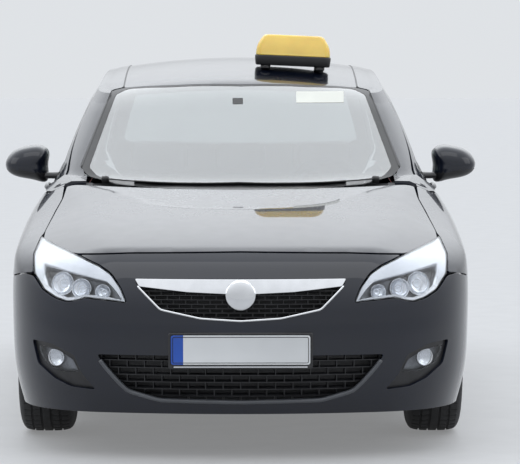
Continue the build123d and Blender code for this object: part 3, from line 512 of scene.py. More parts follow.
# The doors, with their window frames in the same pressing, painted outside and lined with dark trim inside.
front_door_line = [
    (N, -846, 330), (N, -854, 700), (N, -846, 937), (N, -798, 987), (N, -560, 1105), (N, -290, 1245), (N, -130, 1325),
    (N, 30, 1360), (N, 257, 1376), (N, 257, 330),
]
front_door_seam = seam(front_door_line, "side", soft=4)
front_window = [
    (N, -664, 1003), (N, -540, 1065), (N, -270, 1205), (N, -110, 1284), (N, 35, 1316), (N, 212, 1331), (N, 212, 1018),
]
rear_door_line = [
    (N, 265, 330), (N, 265, 1377), (N, 650, 1390), (N, 880, 1384), (N, 1070, 1356), (N, 1205, 1240), (N, 1258, 1080),
    (N, 1247, 1030), (N, 1183, 950), (N, 1148, 800), (N, 1100, 655), (N, 1040, 545), (N, 996, 440), (N, 984, 330),
]
rear_door_seam = seam(rear_door_line, "side", soft=4)
rear_window = [
    (N, 312, 1022), (N, 312, 1333), (N, 650, 1345), (N, 865, 1338), (N, 1035, 1310), (N, 1140, 1215), (N, 1196, 1085),
    (N, 1186, 1045),
]
glass = finish(
    "tinted_glass", (0.55, 0.62, 0.6), 0.02, mottle=0.03, bump=0, Transmission_Weight=1.0, IOR=1.45, Alpha=1.0,
)
seal = finish("black_seal", (0.012, 0.012, 0.013), 0.35, bump=0.1, grain=500)
CUP_LONG, CUP_HIGH, CUP_Z = 0.062, 0.034, 0.895
for end, corners_of, door_seam, window, handle_y in (
    ("front", front_door_line, front_door_seam, front_window, 0.14),
    ("rear", rear_door_line, rear_door_seam, rear_window, 1.04),
):
    opening = seam(window, "side", soft=3)
    lip_loops = [seam(corners_of, "side", pitch=0.016, soft=2, grow=edge) for edge in (0.0045, -0.006)]
    round_cup = np.linspace(0, 2 * pi, 40, endpoint=False)
    cup_flat = np.c_[handle_y + CUP_LONG * np.cos(round_cup), CUP_Z + CUP_HIGH * np.sin(round_cup)]
    cup = settle(*rays("side", cup_flat))
    pane, band = seam(window, "side", soft=3, grow=0.006), seam(window, "side", soft=3, grow=0.004)
    inner = seam(window, "side", soft=3, grow=-0.012)
    for side, flip in (("left", False), ("right", True)):
        body = f"{end}_door_{side}_body"
        pressed(
            f"{end}_door_skin_{side}", [door_seam, opening, cup], "side", body, [paint, trim], f"{end}_door_{side}",
            wall=0.034, flip=flip,
        )
        hollow, hollow_faces = lay([cup], "side", 0.006)
        across = ((hollow[:, 1] - handle_y) / CUP_LONG) ** 2 + ((hollow[:, 2] - CUP_Z) / CUP_HIGH) ** 2
        hollow = hollow - 0.02 * np.maximum(1 - across, 0)[:, None] ** 0.7 * shell_normal(hollow)
        if flip:
            hollow, hollow_faces = hollow * (-1, 1, 1), hollow_faces[:, ::-1]
        mesh_piece(f"{end}_handle_cup_{side}", hollow, hollow_faces, body, paint)
        pressed(
            f"{end}_pane_{side}", [pane], "side", body, glass, f"{end}_door_glass_{side}", wall=0.004, roll=0.0003,
            flip=flip, sink=0.007, pitch=0.03,
        )
        pressed(
            f"{end}_door_lip_{side}", lip_loops, "side", body, seal, wall=0.005, roll=0.001, flip=flip, sink=0.028,
        )
        pressed(
            f"{end}_seal_{side}", [band, inner], "side", body, seal, wall=0.007, roll=0.001, flip=flip, sink=-0.0005,
        )

# The side frame: sill below the doors and one long pillar and rail over them. The posts behind the doors are the
# frame's own solid, so both skins lie a little proud of it.
sill_seam = seam([(N, -922, 322), (N, 1047, 322), (N, 1080, 172), (N, -956, 172)], "side", soft=3)
rail_seam = seam([
    (N, -854, 944), (N, -926, 948), (706, -924, N), (664, -922, N), (654, N, 1024), (673, N, 1042), (564, N, 1352),
    (513, -217, N), (513, 0, N), (513, 1104, N), (N, 1104, 1340), (N, 1072, 1364), (N, 881, 1392), (N, 650, 1398),
    (N, 261, 1384), (N, 28, 1368), (N, -132, 1333), (N, -294, 1252), (N, -564, 1112), (N, -803, 994),
], "pillar", soft=3)
for side, flip in (("left", False), ("right", True)):
    pressed(f"sill_{side}", [sill_seam], "side", "car_body", paint, flip=flip, sink=-0.002)
    pressed(f"pillar_and_rail_{side}", [rail_seam], "pillar", "car_body", paint, flip=flip, sink=-0.002, wall=0.006)

# The rear quarters, each from the rear door round to the tailgate, with the rear pillar in the same pressing.
quarter_seam = seam([
    (N, 992, 328), (N, 1003, 437), (N, 1047, 541), (N, 1107, 652), (N, 1156, 798), (N, 1190, 947), (N, 1255, 1028),
    (N, 1266, 1081), (N, 1211, 1246), (N, 1104, 1340), (513, 1104, N), (513, 1635, N), (610, 1635, N), (618, N, 1360),
    (653, N, 1200), (697, N, 1012), (676, N, 958), (718, N, 958), (N, 1922, 956), (N, 1922, 797), (N, 1962, 788),
    (N, 1889, 640), (N, 1690, 557), *arch(REAR_AXLE, 37, 179),
], "quarter", soft=2)
for side, flip in (("left", False), ("right", True)):
    pressed(f"quarter_{side}", [quarter_seam], "quarter", "car_body", paint, f"rear_quarter_{side}", flip=flip)

# The roof skin, the windscreen with its black printed border, and the tailgate with its heated glass.
roof_seam = [(0, -300, N), (300, -273, N), (511, -221, N), (511, 1640, N), (0, 1640, N)]
pressed("roof_skin", [seam(roof_seam, "plan", whole=True)], "plan", "car_body", paint, "roof_panel", pitch=0.025)
screen_line = [
    (0, N, 966), (300, N, 968), (500, N, 980), (630, N, 1006), (668, N, 1035), (562, N, 1350), (508, -225, N),
    (300, -277, N), (0, -304, N),
]
clear = finish(
    "clear_glass", (0.24, 0.27, 0.28), 0.01, mottle=0.02, bump=0, Transmission_Weight=1.0, IOR=1.95,
    Coat_Weight=1.0, Coat_IOR=1.75, Coat_Roughness=0.01,
)
print_black = finish(
    "printed_border", (0.008, 0.008, 0.009), 0.3, mottle=0.1, bump=0, Specular_IOR_Level=0.35, Coat_Weight=0.1,
)
pressed(
    "windscreen_pane", [seam(screen_line, "screen", whole=True)], "screen", "car_body", clear, "windscreen", wall=0.005,
    roll=0.0005, pitch=0.025,
)
inner_line = [
    (0, N, 988), (300, N, 989), (520, N, 993), (596, N, 1008), (634, N, 1042), (541, N, 1336), (488, -246, N),
    (300, -292, N), (0, -318, N),
]
border = [seam(screen_line, "screen", grow=-0.0005, whole=True), seam(inner_line, "screen", whole=True)]
pressed(
    "windscreen_border", border, "screen", "car_body", print_black, wall=0.0006, roll=0.0001, sink=-0.0007,
)
scuttle_corner = seam([
    (612, -1014, N), (650, -1002, N), (700, -986, N), (712, -978, N), (712, -870, N), (612, -900, N),
], "plan", soft=1)
for side, flip in (("left", False), ("right", True)):
    pressed(f"scuttle_corner_{side}", [scuttle_corner], "plan", "car_body", trim, wall=0.004, flip=flip, sink=0.012)
tailgate_line = [
    (0, N, 600), (560, N, 600), (590, N, 640), (600, N, 790), (650, N, 925), (684, N, 1010), (640, N, 1200),
    (602, N, 1370), (599, 1650, N), (0, 1650, N),
]
tail_glass_line = [(0, N, 1040), (560, N, 1052), (604, N, 1075), (540, N, 1325), (0, N, 1345)]
tail_glass_opening = seam(tail_glass_line, "hatch", soft=4, whole=True)
pressed(
    "tailgate_skin", [seam(tailgate_line, "hatch", soft=4, whole=True), tail_glass_opening], "hatch", "tailgate_body",
    [paint, trim], "tailgate", wall=0.03,
)
pressed(
    "tailgate_pane", [seam(tail_glass_line, "hatch", soft=4, grow=-0.002, whole=True)], "hatch", "tailgate_body", glass,
    "tailgate_glass", wall=0.005, roll=0.0005, sink=0.001, pitch=0.025,
)

# The grilles: a bright bar with a plain domed boss, a bright line round the upper opening, and two black moulded
# gratings whose cells are laid like brickwork, carried on curved sheets behind the openings.
bright = finish("bright_plating", (0.66, 0.67, 0.69), 0.09, mottle=0.04, broad=20, bump=0.02, grain=200, Metallic=1.0)
grille_black = finish(
    "moulded_grille_black", (0.018, 0.018, 0.02), 0.38, mottle=0.25, broad=30, bump=0.2, grain=900, depth=0.0003,
)


def on_nose(x, z, sink):
    """Points behind the nose at front view places (x, z), in metres, `sink` below the painted surface."""
    points = settle(*rays("front", np.c_[x, z]))
    return points - np.reshape(sink, (-1, 1)) * shell_normal(points)


def ribs(start, end, half, sink, depth):
    """Bars between pairs of front view places: each is a hexagonal tube whose front edge is narrower than its back.
    The corners are offsets of `half` across the bar, at three depths, found for all bars at once."""
    along = end - start
    aside = np.c_[-along[:, 1], along[:, 0]] / np.linalg.norm(along, axis=1)[:, None] * half
    spots, sinks = [], []
    for place in (start, end):
        for across, back in ((-0.45, 0), (-1, 0.35), (-1, 1), (1, 1), (1, 0.35), (0.45, 0)):
            spots.append(place + across * aside)
            sinks.append(np.full(len(start), sink + back * depth))
    spots, sinks = np.stack(spots, axis=1).reshape(-1, 2), np.stack(sinks, axis=1).ravel()
    one = cells(2, 6, lids=True)
    faces = [[corner + 12 * k for corner in face] for k in range(len(start)) for face in one]
    return on_nose(spots[:, 0], spots[:, 1], sinks), faces


def grating(name, line, pitch_x, pitch_z, half, sink, depth, body, material):
    """A brickwork grating inside an outline: level bars at every pitch_z and short uprights between them, shifted
    half a pitch from row to row. A cell is kept if its middle is inside the outline."""
    edge = flatten("front", seam(line, "front", soft=0, whole=True, grow=0.006))
    low, high = edge.min(axis=0), edge.max(axis=0)
    columns = np.arange(-np.ceil(high[0] / pitch_x) * 2, np.ceil(high[0] / pitch_x) * 2 + 1) * pitch_x / 2
    rows = np.arange(high[1], low[1], -pitch_z)
    u, v = np.meshgrid(columns[:-1], rows, indexing="ij")
    level = np.c_[u.ravel(), v.ravel()]
    level = level[within(level + (pitch_x / 4, 0), edge)]
    u, v = np.meshgrid(columns[::2], rows, indexing="ij")
    shift = (np.round((high[1] - v) / pitch_z) % 2) * pitch_x / 2
    upright = np.c_[(u + shift).ravel(), v.ravel()]
    upright = upright[within(upright - (0, pitch_z / 2), edge)]
    across_points, across_faces = ribs(level, level + (pitch_x / 2, 0), half, sink, depth)
    down_points, down_faces = ribs(upright, upright - (0, pitch_z), half, sink + 0.001, depth)
    shifted = [[corner + len(across_points) for corner in face] for face in down_faces]
    points = np.concatenate([across_points, down_points])
    return mesh_piece(name, points, across_faces + shifted, body, material, smooth=False)


def carried(name, path, up, section, body, material, closed=False):
    """A profile carried along a path. At each point of the path the section's first number runs across the path and
    its second along `up`. Each pair of neighbouring sections is joined by a ring of four-sided faces."""
    ahead = np.roll(path, -1, axis=0) - np.roll(path, 1, axis=0)
    if not closed:
        ahead[0], ahead[-1] = path[1] - path[0], path[-1] - path[-2]
    aside = np.cross(up, ahead)
    aside /= np.linalg.norm(aside, axis=1)[:, None]
    section = np.array(section)
    turning = np.cross(section, np.roll(section, -1, axis=0)).sum()
    section = section if turning > 0 else section[::-1]
    points = path[:, None] + section[None, :, :1] * aside[:, None] + section[None, :, 1:] * up[:, None]
    faces = cells(len(path), len(section), ring_closed=closed, lids=not closed)
    return mesh_piece(name, points.reshape(-1, 3), faces, body, material)


upper_mesh_line = [(0, N, 632), (200, N, 641), (378, N, 655), (296, N, 581), (150, N, 549), (0, N, 540)]
upper = grating("upper_grating", upper_mesh_line, 0.046, 0.0165, 0.0024, 0.014, 0.016, "car_body", grille_black)
lower = grating("lower_grating", lower_line, 0.066, 0.0285, 0.0034, 0.016, 0.02, "car_body", grille_black)
for piece in (upper, lower):
    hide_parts("grilles")
chrome_line = [(0, N, 684), (396, N, 684), (380, N, 656), (200, N, 637), (0, N, 628)]
for number, (wide, low, high, y) in enumerate([(0.6, 0.21, 0.42, -2.02), (0.4, 0.52, 0.68, -2.03)]):
    guide = np.array([
        [(-wide, t, low), (wide, t, low), (wide, t, high), (-wide, t, high)] for t in (y, y + 0.012)
    ])[:, ::-1]
    mesh_piece(
        f"air_guide_{number}", guide.reshape(-1, 3), cells(2, 4, lids=True), "car_body", grille_black, False,
    )
bar = pressed(
    "bright_bar", [seam(chrome_line, "nose", soft=1, pitch=0.006, whole=True)], "nose", "car_body", bright,
    "grille_bar", wall=0.012, roll=0.004, sink=-0.003, pitch=0.01,
)
bar.modifiers["rolled_edge"].segments = 3
under = seam(upper_line, "nose", soft=2, pitch=0.006, whole=True)
under = under[under[:, 2] < 0.66]
under = under[np.argsort(under[:, 0])]
round_bar = [(0.0042 * np.cos(a), 0.0042 * np.sin(a)) for a in np.linspace(0, 2 * pi, 9)[:-1]]
carried("bright_line", under, shell_normal(under), round_bar, "car_body", bright)


def turned(name, profile, centre, axis, body, material, steps=64, closed=False):
    """A profile of (radius, height) points turned about an axis through a centre: radius times the cosine and sine
    of the turn on two level directions, plus height along the axis. A radius of 0 closes it in a point."""
    axis = np.array(axis, float) / np.linalg.norm(axis)
    first = np.cross(axis, (0, 0, 1) if abs(axis[2]) < 0.9 else (1, 0, 0))
    first /= np.linalg.norm(first)
    second = np.cross(axis, first)
    radius, height = np.array(profile)[:, 0, None, None], np.array(profile)[:, 1, None, None]
    turn = np.linspace(0, 2 * pi, steps, endpoint=False)[None, :, None]
    points = np.array(centre) + radius * (np.cos(turn) * first + np.sin(turn) * second) + height * axis
    faces = cells(len(profile), steps, ring_closed=closed)
    piece = mesh_piece(name, points.reshape(-1, 3), faces, body, material)
    weld = piece.modifiers.new("closed_poles", "WELD")
    weld.merge_threshold = 0.00001
    return piece


boss_profile = [(0, -0.012), (0.057, -0.012), (0.0585, -0.004), (0.058, 0.0)]
boss_profile += [(0.057 * np.cos(a), 0.001 + 0.013 * np.sin(a)) for a in np.linspace(0, pi / 2, 12)]
turned("plain_boss", boss_profile, (0, -2.203, 0.628), (0, -1, 0.1), "car_body", bright, steps=96)
grey_lip = finish("satin_grey_lip", (0.09, 0.095, 0.105), 0.3, mottle=0.1, bump=0.1, grain=600)
lip = seam(lower_line, "nose", soft=3, pitch=0.01, whole=True, grow=0.003)
lip = lip[lip[:, 2] < 0.385]
lip = lip[np.argsort(np.arctan2(lip[:, 0], 0.6 - lip[:, 2]))]
blade = [(-0.009, -0.004), (-0.006, 0.004), (0.0, 0.007), (0.006, 0.004), (0.009, -0.004)]
carried("lower_lip", lip, shell_normal(lip), blade, "car_body", grey_lip)

# The black rubber mouldings that fill the joint on each side of the roof panel and of the windscreen, pressed in so
# that only a low crown shows.
joint_strip = [
    (-0.0065, -0.006), (0.0065, -0.006), (0.0065, 0.0008), (0.003, 0.0018), (-0.003, 0.0018), (-0.0065, 0.0008),
]
ditch = np.array([(0.514, y, 0) for y in np.linspace(-0.212, 1.628, 90)])
ditch = settle(*rays("plan", ditch[:, :2]))
glass_height = np.linspace(1.04, 1.352, 40)
side_glass = settle(*rays("front", np.c_[np.interp(glass_height, (1.035, 1.35), (0.6705, 0.5645)), glass_height]))
for side, sign in (("left", 1), ("right", -1)):
    for name, joint in (("roof", ditch), ("screen", side_glass)):
        line = joint[::sign] * (sign, 1, 1)
        carried(f"{name}_moulding_{side}", line, shell_normal(line), joint_strip, "car_body", seal)

# The headlamps: a moulded housing with a bright upper band, a dark window that holds two reflector cups, and a clear
# cover bonded over the whole lamp flush with the panels round it.
silver = finish("lamp_silver", (0.58, 0.59, 0.61), 0.22, mottle=0.05, bump=0.05, grain=300, Metallic=0.85)
smoke = finish("lamp_inner_grey", (0.16, 0.165, 0.175), 0.3, mottle=0.3, broad=25, bump=0.1, Metallic=0.6)
cover = finish("lamp_cover", (0.95, 0.97, 1.0), 0.01, mottle=0.01, bump=0, Transmission_Weight=1.0, IOR=1.3)
window_line = [
    (441, N, 604), (470, N, 644), (502, N, 676), (602, N, 699), (700, N, 722), (752, N, 733), (757, N, 700),
    (742, N, 650), (700, N, 622), (656, N, 608), (622, N, 613), (588, N, 624), (500, N, 616),
]
lamp_outline = seam(lamp_line, "nose", soft=2, pitch=0.006)
window_outline = seam(window_line, "nose", soft=2, pitch=0.006)
lamp_inset = seam(lamp_line, "nose", soft=2, pitch=0.006, grow=-0.003)
for side, flip, sign in (("left", False, 1), ("right", True, -1)):
    pressed(
        f"headlamp_cover_{side}", [lamp_outline], "nose", "car_body", cover, "headlamp_lenses", wall=0.003, roll=0.0008,
        flip=flip, sink=0.0005, pitch=0.012,
    )
    pressed(
        f"headlamp_band_{side}", [lamp_inset, window_outline], "nose", "car_body", silver, "headlamps", wall=0.004,
        roll=0.0015, flip=flip, sink=0.008, pitch=0.012,
    )
    pressed(
        f"headlamp_bowl_{side}", [lamp_inset], "nose", "car_body", smoke, wall=0.002, roll=0.0004, flip=flip, sink=0.05,
        pitch=0.012,
    )
    rim = window_outline * (sign, 1, 1)
    rim_normal = shell_normal(rim)
    skirt = [(-0.001, 0.0), (0.001, 0.0), (0.001, -0.042), (-0.001, -0.042)]
    carried(f"headlamp_skirt_{side}", rim - 0.007 * rim_normal, rim_normal, skirt, "car_body", silver, closed=True)
    for number, (x, z, size) in enumerate([(0.69, 0.668, 0.042), (0.61, 0.652, 0.036), (0.522, 0.64, 0.028)]):
        centre = on_nose(np.array([x]), np.array([z]), 0.042)[0] * (sign, 1, 1)
        cup = [
            (0, -0.004), (0.2, -0.003), (0.5, 0.002), (0.8, 0.011), (0.97, 0.021), (1.0, 0.024), (1.04, 0.024),
            (1.04, -0.004), (0, -0.0045),
        ]
        cup = [(size * r, h) for r, h in cup]
        look = (0.22 * sign, -0.95, 0.12)
        turned(f"lamp_cup_{side}_{number}", cup, centre, look, "car_body", bright, steps=56)
        dome = [(size * 0.42 * np.sin(a), size * 0.42 * (0.2 + np.cos(a))) for a in np.linspace(0, pi, 15)]
        turned(f"lamp_bulb_{side}_{number}", dome, centre, look, "car_body", cover, steps=40)

# The fog lamps: a black surround fills each recess, with a clear lens over a small reflector in its upper part.
fog_lens_line = [
    (612, N, 326), (686, N, 324), (744, N, 350), (770, N, 390), (776, N, 421), (694, N, 408), (636, N, 374),
]
fog_seam = seam(fog_line, "nose", soft=2, pitch=0.006, grow=0.003)
fog_lens = seam(fog_lens_line, "nose", soft=2, pitch=0.006)
for side, flip, sign in (("left", False, 1), ("right", True, -1)):
    pressed(
        f"fog_surround_{side}", [fog_seam, fog_lens], "nose", "car_body", grille_black, "fog_lamps", wall=0.01,
        roll=0.002, flip=flip, sink=0.012, pitch=0.014,
    )
    pressed(f"fog_bowl_{side}", [fog_lens], "nose", "car_body", smoke, wall=0.002, roll=0.0005, flip=flip, sink=0.034)
    pressed(
        f"fog_cover_{side}", [fog_lens], "nose", "car_body", cover, wall=0.003, roll=0.001, flip=flip, sink=0.011,
        pitch=0.014,
    )
    centre = on_nose(np.array([0.712]), np.array([0.376]), 0.028)[0] * (sign, 1, 1)
    cup = [(0, -0.003), (0.012, -0.002), (0.024, 0.003), (0.031, 0.01), (0.033, 0.01), (0.033, -0.004), (0, -0.004)]
    turned(f"fog_cup_{side}", cup, centre, (0.35 * sign, -0.93, 0), "car_body", silver, steps=48)
    fog_rim = fog_lens * (sign, 1, 1)
    rim_normal = shell_normal(fog_rim)
    skirt = [(-0.001, 0.0), (0.0015, 0.0), (0.0015, -0.022), (-0.001, -0.022)]
    carried(f"fog_skirt_{side}", fog_rim - 0.012 * rim_normal, rim_normal, skirt, "car_body", grille_black, closed=True)

# The number plate: a white sheet with a raised edge, left blank, and its blue band. It lies on a black holder that is
# screwed to the bumper and shows as a lip round it, wider below.
plate_white = finish("plate_sheet", (0.8, 0.81, 0.81), 0.35, mottle=0.02, bump=0.12, grain=1500, depth=0.0002)
plate_tree = plate_white.node_tree
plate_mix = node_into(
    plate_tree, "ShaderNodeMix", plate_tree.nodes["Principled BSDF"], "Base Color", "Result", data_type="RGBA",
)
plate_tree.links.new(plate_tree.nodes["Color Ramp"].outputs["Color"], plate_mix.inputs["A"])
plate_mix.inputs["B"].default_value = (0.02, 0.09, 0.45, 1)
left_end = node_into(plate_tree, "ShaderNodeMath", plate_mix, "Factor", "Value", operation="LESS_THAN")
left_end.inputs[1].default_value = -0.214
plate_x = node_into(plate_tree, "ShaderNodeSeparateXYZ", left_end, 0, "X")
plate_tree.links.new(plate_tree.nodes["Texture Coordinate"].outputs["Object"], plate_x.inputs["Vector"])


def rounded(width, height, radius, corner=8):
    """The outline of a rounded rectangle, anticlockwise: each corner is a quarter circle about its own centre."""
    turn = (np.arange(4)[:, None] * pi / 2 + np.linspace(0, pi / 2, corner)).ravel()
    middle = np.repeat(np.arange(4) * pi / 2 + pi / 4, corner)
    centre = np.c_[np.sign(np.cos(middle)) * (width / 2 - radius), np.sign(np.sin(middle)) * (height / 2 - radius)]
    return centre + radius * np.c_[np.cos(turn), np.sin(turn)]


def lofted(name, rings, body, material):
    """Rings of points joined in turn: rings is (n, m, 3), closed round m, with a flat lid on each end ring."""
    piece = mesh_piece(name, rings.reshape(-1, 3), cells(*rings.shape[:2], lids=True), body, material)
    crisp = piece.modifiers.new("crisp_edges", "EDGE_SPLIT")
    crisp.split_angle = radians(48)
    return piece


def levels(rows, origin, first, second, corner=8):
    """Rings of rounded rectangles: each row is (height, width, depth, radius), in mm, on an axis that stands square
    to the two directions."""
    first, second = np.array(first, float), np.array(second, float)
    axis = np.cross(first, second)
    rings = [rounded(w, d, r, corner) @ np.array([first, second]) + h * axis for h, w, d, r in np.array(rows) / 1000]
    return np.array(origin) + np.array(rings)


holder_rows = [
    (-12, 536, 132, 8), (-2, 540, 136, 9), (0, 540, 136, 9), (1.5, 537, 133, 8), (1.5, 525, 121, 6),
    (0.2, 523, 119, 6),
]
holder = levels(holder_rows, (0, -2.2095, 0.42), (1, 0, 0), (0, 0, 1))
lofted("plate_holder", holder, "car_body", grille_black)
plate_rows = [
    (0, 518, 108, 8), (0.8, 520, 110, 9), (1.6, 520, 110, 9), (2.4, 518, 108, 8), (2.4, 512, 102, 6), (1.4, 508, 98, 5),
]
plate = lofted("front_plate", levels(plate_rows, (0, -2.2108, 0.423), (1, 0, 0), (0, 0, 1)), "car_body", plate_white)
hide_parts("number_plates")
line_loop = np.insert(rounded(0.506, 0.096, 0.005) + (0, 0.423), 1, -2.2124, axis=1)
line_up = np.tile([0.0, -1.0, 0.0], (len(line_loop), 1))
flat_strip = [(-0.0012, 0.0), (0.0012, 0.0), (0.0012, 0.0004), (-0.0012, 0.0004)]
carried("plate_edge_line", line_loop, line_up, flat_strip, "car_body", print_black, closed=True)
strip_rows = [(0, 500, 5, 2), (0.6, 500, 5, 2)]
lofted("holder_strip", levels(strip_rows, (0, -2.2112, 0.3595), (1, 0, 0), (0, 0, 1)), "car_body", silver)

# The roof sign: a moulded yellow box, left blank, on a black base that stands on four round feet. Its two sizes
# shrink upwards along smooth curves, and its upper edge is rounded by the last rows.
sign_yellow = finish(
    "sign_acrylic", (0.95, 0.63, 0.09), 0.22, mottle=0.07, broad=9, bump=0.04, grain=250, Coat_Weight=0.5,
    Coat_Roughness=0.05, Subsurface_Weight=0.15,
)
sign_black = finish("sign_base_black", (0.016, 0.016, 0.017), 0.42, mottle=0.2, broad=20, bump=0.25, grain=800)
lean = radians(2.5)
sign_across, sign_along = (np.cos(lean), 0, -np.sin(lean)), (0, 1, 0)
sign_foot = (0.231, 0.05, 1.441)
sign_heights = np.array([59.2, 105, 152.0])
sign_widths, sign_depths = np.array([330, 318, 262.0]), np.array([150, 120, 74.0])
round_from, edge_radius = 141, 11
edge_turn = np.linspace(0.15, pi / 2, 8)
sign_tucks = [(high, 0) for high in np.linspace(68, round_from, 12)]
sign_tucks += [(round_from + edge_radius * np.sin(t), edge_radius * (1 - np.cos(t))) for t in edge_turn]
sign_rows = [(59.2, 322, 142, 24), (60.2, 328, 148, 27), (62.5, 330, 150, 28)]
for high, tuck in sign_tucks:
    wide, deep = (spline(high, sign_heights, sizes) - 2 * tuck for sizes in (sign_widths, sign_depths))
    sign_rows.append((high, wide, deep, 28 - 0.8 * tuck))
sign_rows += [(152.6, 180, 30, 10)]
sign = lofted("sign_cover", levels(sign_rows, sign_foot, sign_across, sign_along, 12), "car_body", sign_yellow)
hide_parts("sign_box")
base_rows = [
    (15, 318, 150, 24), (16, 324, 157, 27), (20, 330, 163, 29), (44, 336, 169, 30), (54, 337, 170, 30),
    (57.5, 336, 169, 30), (59, 333, 166, 29), (59, 327, 148, 27), (57, 326, 147, 26),
]
base = lofted("sign_stand", levels(base_rows, sign_foot, sign_across, sign_along, 12), "car_body", sign_black)
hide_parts("sign_base")
magnet = [(0, 0.001), (0.0215, 0.001), (0.022, 0.003), (0.022, 0.013), (0.02, 0.016), (0, 0.016)]
sign_axis = np.cross(sign_across, sign_along)
for number, (x, y) in enumerate([(-0.12, -0.055), (0.12, -0.055), (-0.12, 0.055), (0.12, 0.055)]):
    spot = np.array(sign_foot) + x * np.array(sign_across) + (0, y, 0)
    turned(f"sign_magnet_{number}", magnet, spot, sign_axis, "car_body", sign_black, steps=32)

# The door mirrors: a painted shell with a black underside, on a short foot at the window's front corner. The glass is
# set back in the shell's rear face.
mirror_corners = np.array([
    (829, 1100), (850, 1117), (911, 1119), (975, 1098), (1006, 1064), (1013, 1038), (1002, 1010), (954, 984),
    (880, 969), (836, 966), (828, 990), (830, 1040),
]) / 1000
silvered = finish("mirror_glass", (0.9, 0.92, 0.93), 0.01, mottle=0.01, bump=0, Metallic=1.0)


def round_curve(corners, count):
    """A closed smooth curve through its corners: natural cubics in the chord length over three laps, of which the
    middle one is kept."""
    laps = np.vstack([corners] * 3 + [corners[:1]])
    along = np.r_[0, np.cumsum(np.linalg.norm(np.diff(laps, axis=0), axis=1))]
    at = along[-1] / 3 + np.linspace(0, along[-1] / 3, count, endpoint=False)
    return np.stack([spline(at, along, laps[:, k]) for k in range(laps.shape[1])], axis=1)


mirror_outline = round_curve(mirror_corners, 96) - (0.905, 1.04)
mirror_rows = [
    (-0.5285, 0.03), (-0.528, 0.22), (-0.5245, 0.45), (-0.517, 0.66), (-0.504, 0.82), (-0.487, 0.915), (-0.465, 0.97),
    (-0.44, 0.995), (-0.41, 1.0), (-0.4, 0.995), (-0.397, 0.98), (-0.397, 0.955), (-0.4, 0.94), (-0.408, 0.93),
]
foot_corners = [
    (0.775, 0.034, 0.016), (0.79, 0.031, 0.0145), (0.815, 0.029, 0.0135), (0.845, 0.029, 0.0135),
    (0.87, 0.03, 0.014),
]
angles = np.linspace(0, 2 * pi, 32, endpoint=False)
for side, sign in (("left", 1), ("right", -1)):
    body = f"front_door_{side}_body"
    rings = np.stack([
        np.c_[0.905 + s * mirror_outline[:, 0], np.full(96, y), 1.04 + s * mirror_outline[:, 1]] for y, s in mirror_rows
    ])
    foot = np.stack([
        np.c_[np.full(32, x), -0.47 + a * np.cos(angles), 0.992 + b * np.sin(angles)] for x, a, b in foot_corners
    ])
    rings, foot = rings[:, ::sign] * (sign, 1, 1), foot[:, ::sign] * (sign, 1, 1)
    housing = lofted(f"mirror_housing_{side}", rings, body, [paint, grille_black])
    middles = np.array([tuple(face.center) for face in housing.data.polygons])
    edge_height = 1.002 + 0.12 * (np.abs(middles[:, 0]) - 0.83)
    housing.data.polygons.foreach_set("material_index", (middles[:, 2] < edge_height).astype(int))
    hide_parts(f"door_mirror_{side}")
    lofted(f"mirror_foot_{side}", foot, body, grille_black)
    pane = np.stack([
        np.c_[0.905 + s * mirror_outline[:, 0], np.full(96, y), 1.04 + s * mirror_outline[:, 1]]
        for y, s in ((-0.408, 0.9), (-0.4045, 0.9), (-0.404, 0.892), (-0.4038, 0.5))
    ])[:, ::sign] * (sign, 1, 1)
    lofted(f"mirror_glass_{side}", pane, body, silvered)

# The wheels: a rounded tyre with four grooves round the tread and slanted sipes across its blocks, on an alloy rim
# with five pairs of spokes, a hub, five nuts and a brake disc behind.
rubber = finish("tyre_rubber", (0.02, 0.02, 0.021), 0.72, mottle=0.3, broad=25, bump=0.35, grain=900, depth=0.0003)


def section_line(knots, count):
    """Points spaced along a natural cubic through (x, y) knots, measured by chord length."""
    knots = np.array(knots)
    along = np.r_[0, np.cumsum(np.linalg.norm(np.diff(knots, axis=0), axis=1))]
    at = np.linspace(0, along[-1], count)
    return np.stack([spline(at, along, knots[:, k]) for k in range(2)], axis=1)


wall_line = section_line([
    (0.0945, 0.2195), (0.0965, 0.2305), (0.1, 0.238), (0.105, 0.25), (0.1075, 0.266), (0.1065, 0.28), (0.101, 0.296),
    (0.094, 0.3075), (0.086, 0.3145),
], 22)
TYRE_RADIUS, TREAD_HALF = 0.323, 0.084
grooves = np.array([-0.055, -0.019, 0.019, 0.055])
tread_x = np.unique(np.concatenate([
    np.linspace(-TREAD_HALF, TREAD_HALF, 15), *[grooves + d for d in (-0.0048, -0.0038, 0.0038, 0.0048)],
]))
in_groove = (np.abs(tread_x[:, None] - grooves) < 0.004).any(axis=1)
blocks = (np.abs(tread_x) > 0.024) & ~in_groove
tread_line = np.c_[tread_x, TYRE_RADIUS - 0.0078 * (np.abs(tread_x) / TREAD_HALF) ** 4]
tyre_section = np.vstack([wall_line * (-1, 1), tread_line, wall_line[::-1]])
cut = np.r_[np.zeros(22), np.where(in_groove, 0.0068, 0), np.zeros(22)]
siped = np.r_[np.zeros(22), blocks, np.zeros(22)]
pitches, fractions = 56, np.array([0.0, 0.02, 0.13, 0.15, 0.5, 0.8])
base_turn = ((np.arange(pitches)[:, None] + fractions) * 2 * pi / pitches).ravel()
sipe = np.tile(np.array([0, 1, 1, 0, 0, 0]), pitches) * 0.0045
rim_profile = [
    (0.229, -0.101), (0.2295, -0.097), (0.2185, -0.0945), (0.2184, 0.0945), (0.2295, 0.0955), (0.2305, 0.098),
    (0.2295, 0.101), (0.2235, 0.1012), (0.2195, 0.098), (0.215, 0.09), (0.211, 0.074), (0.209, 0.05),
    (0.206, -0.08), (0.212, -0.1),
]
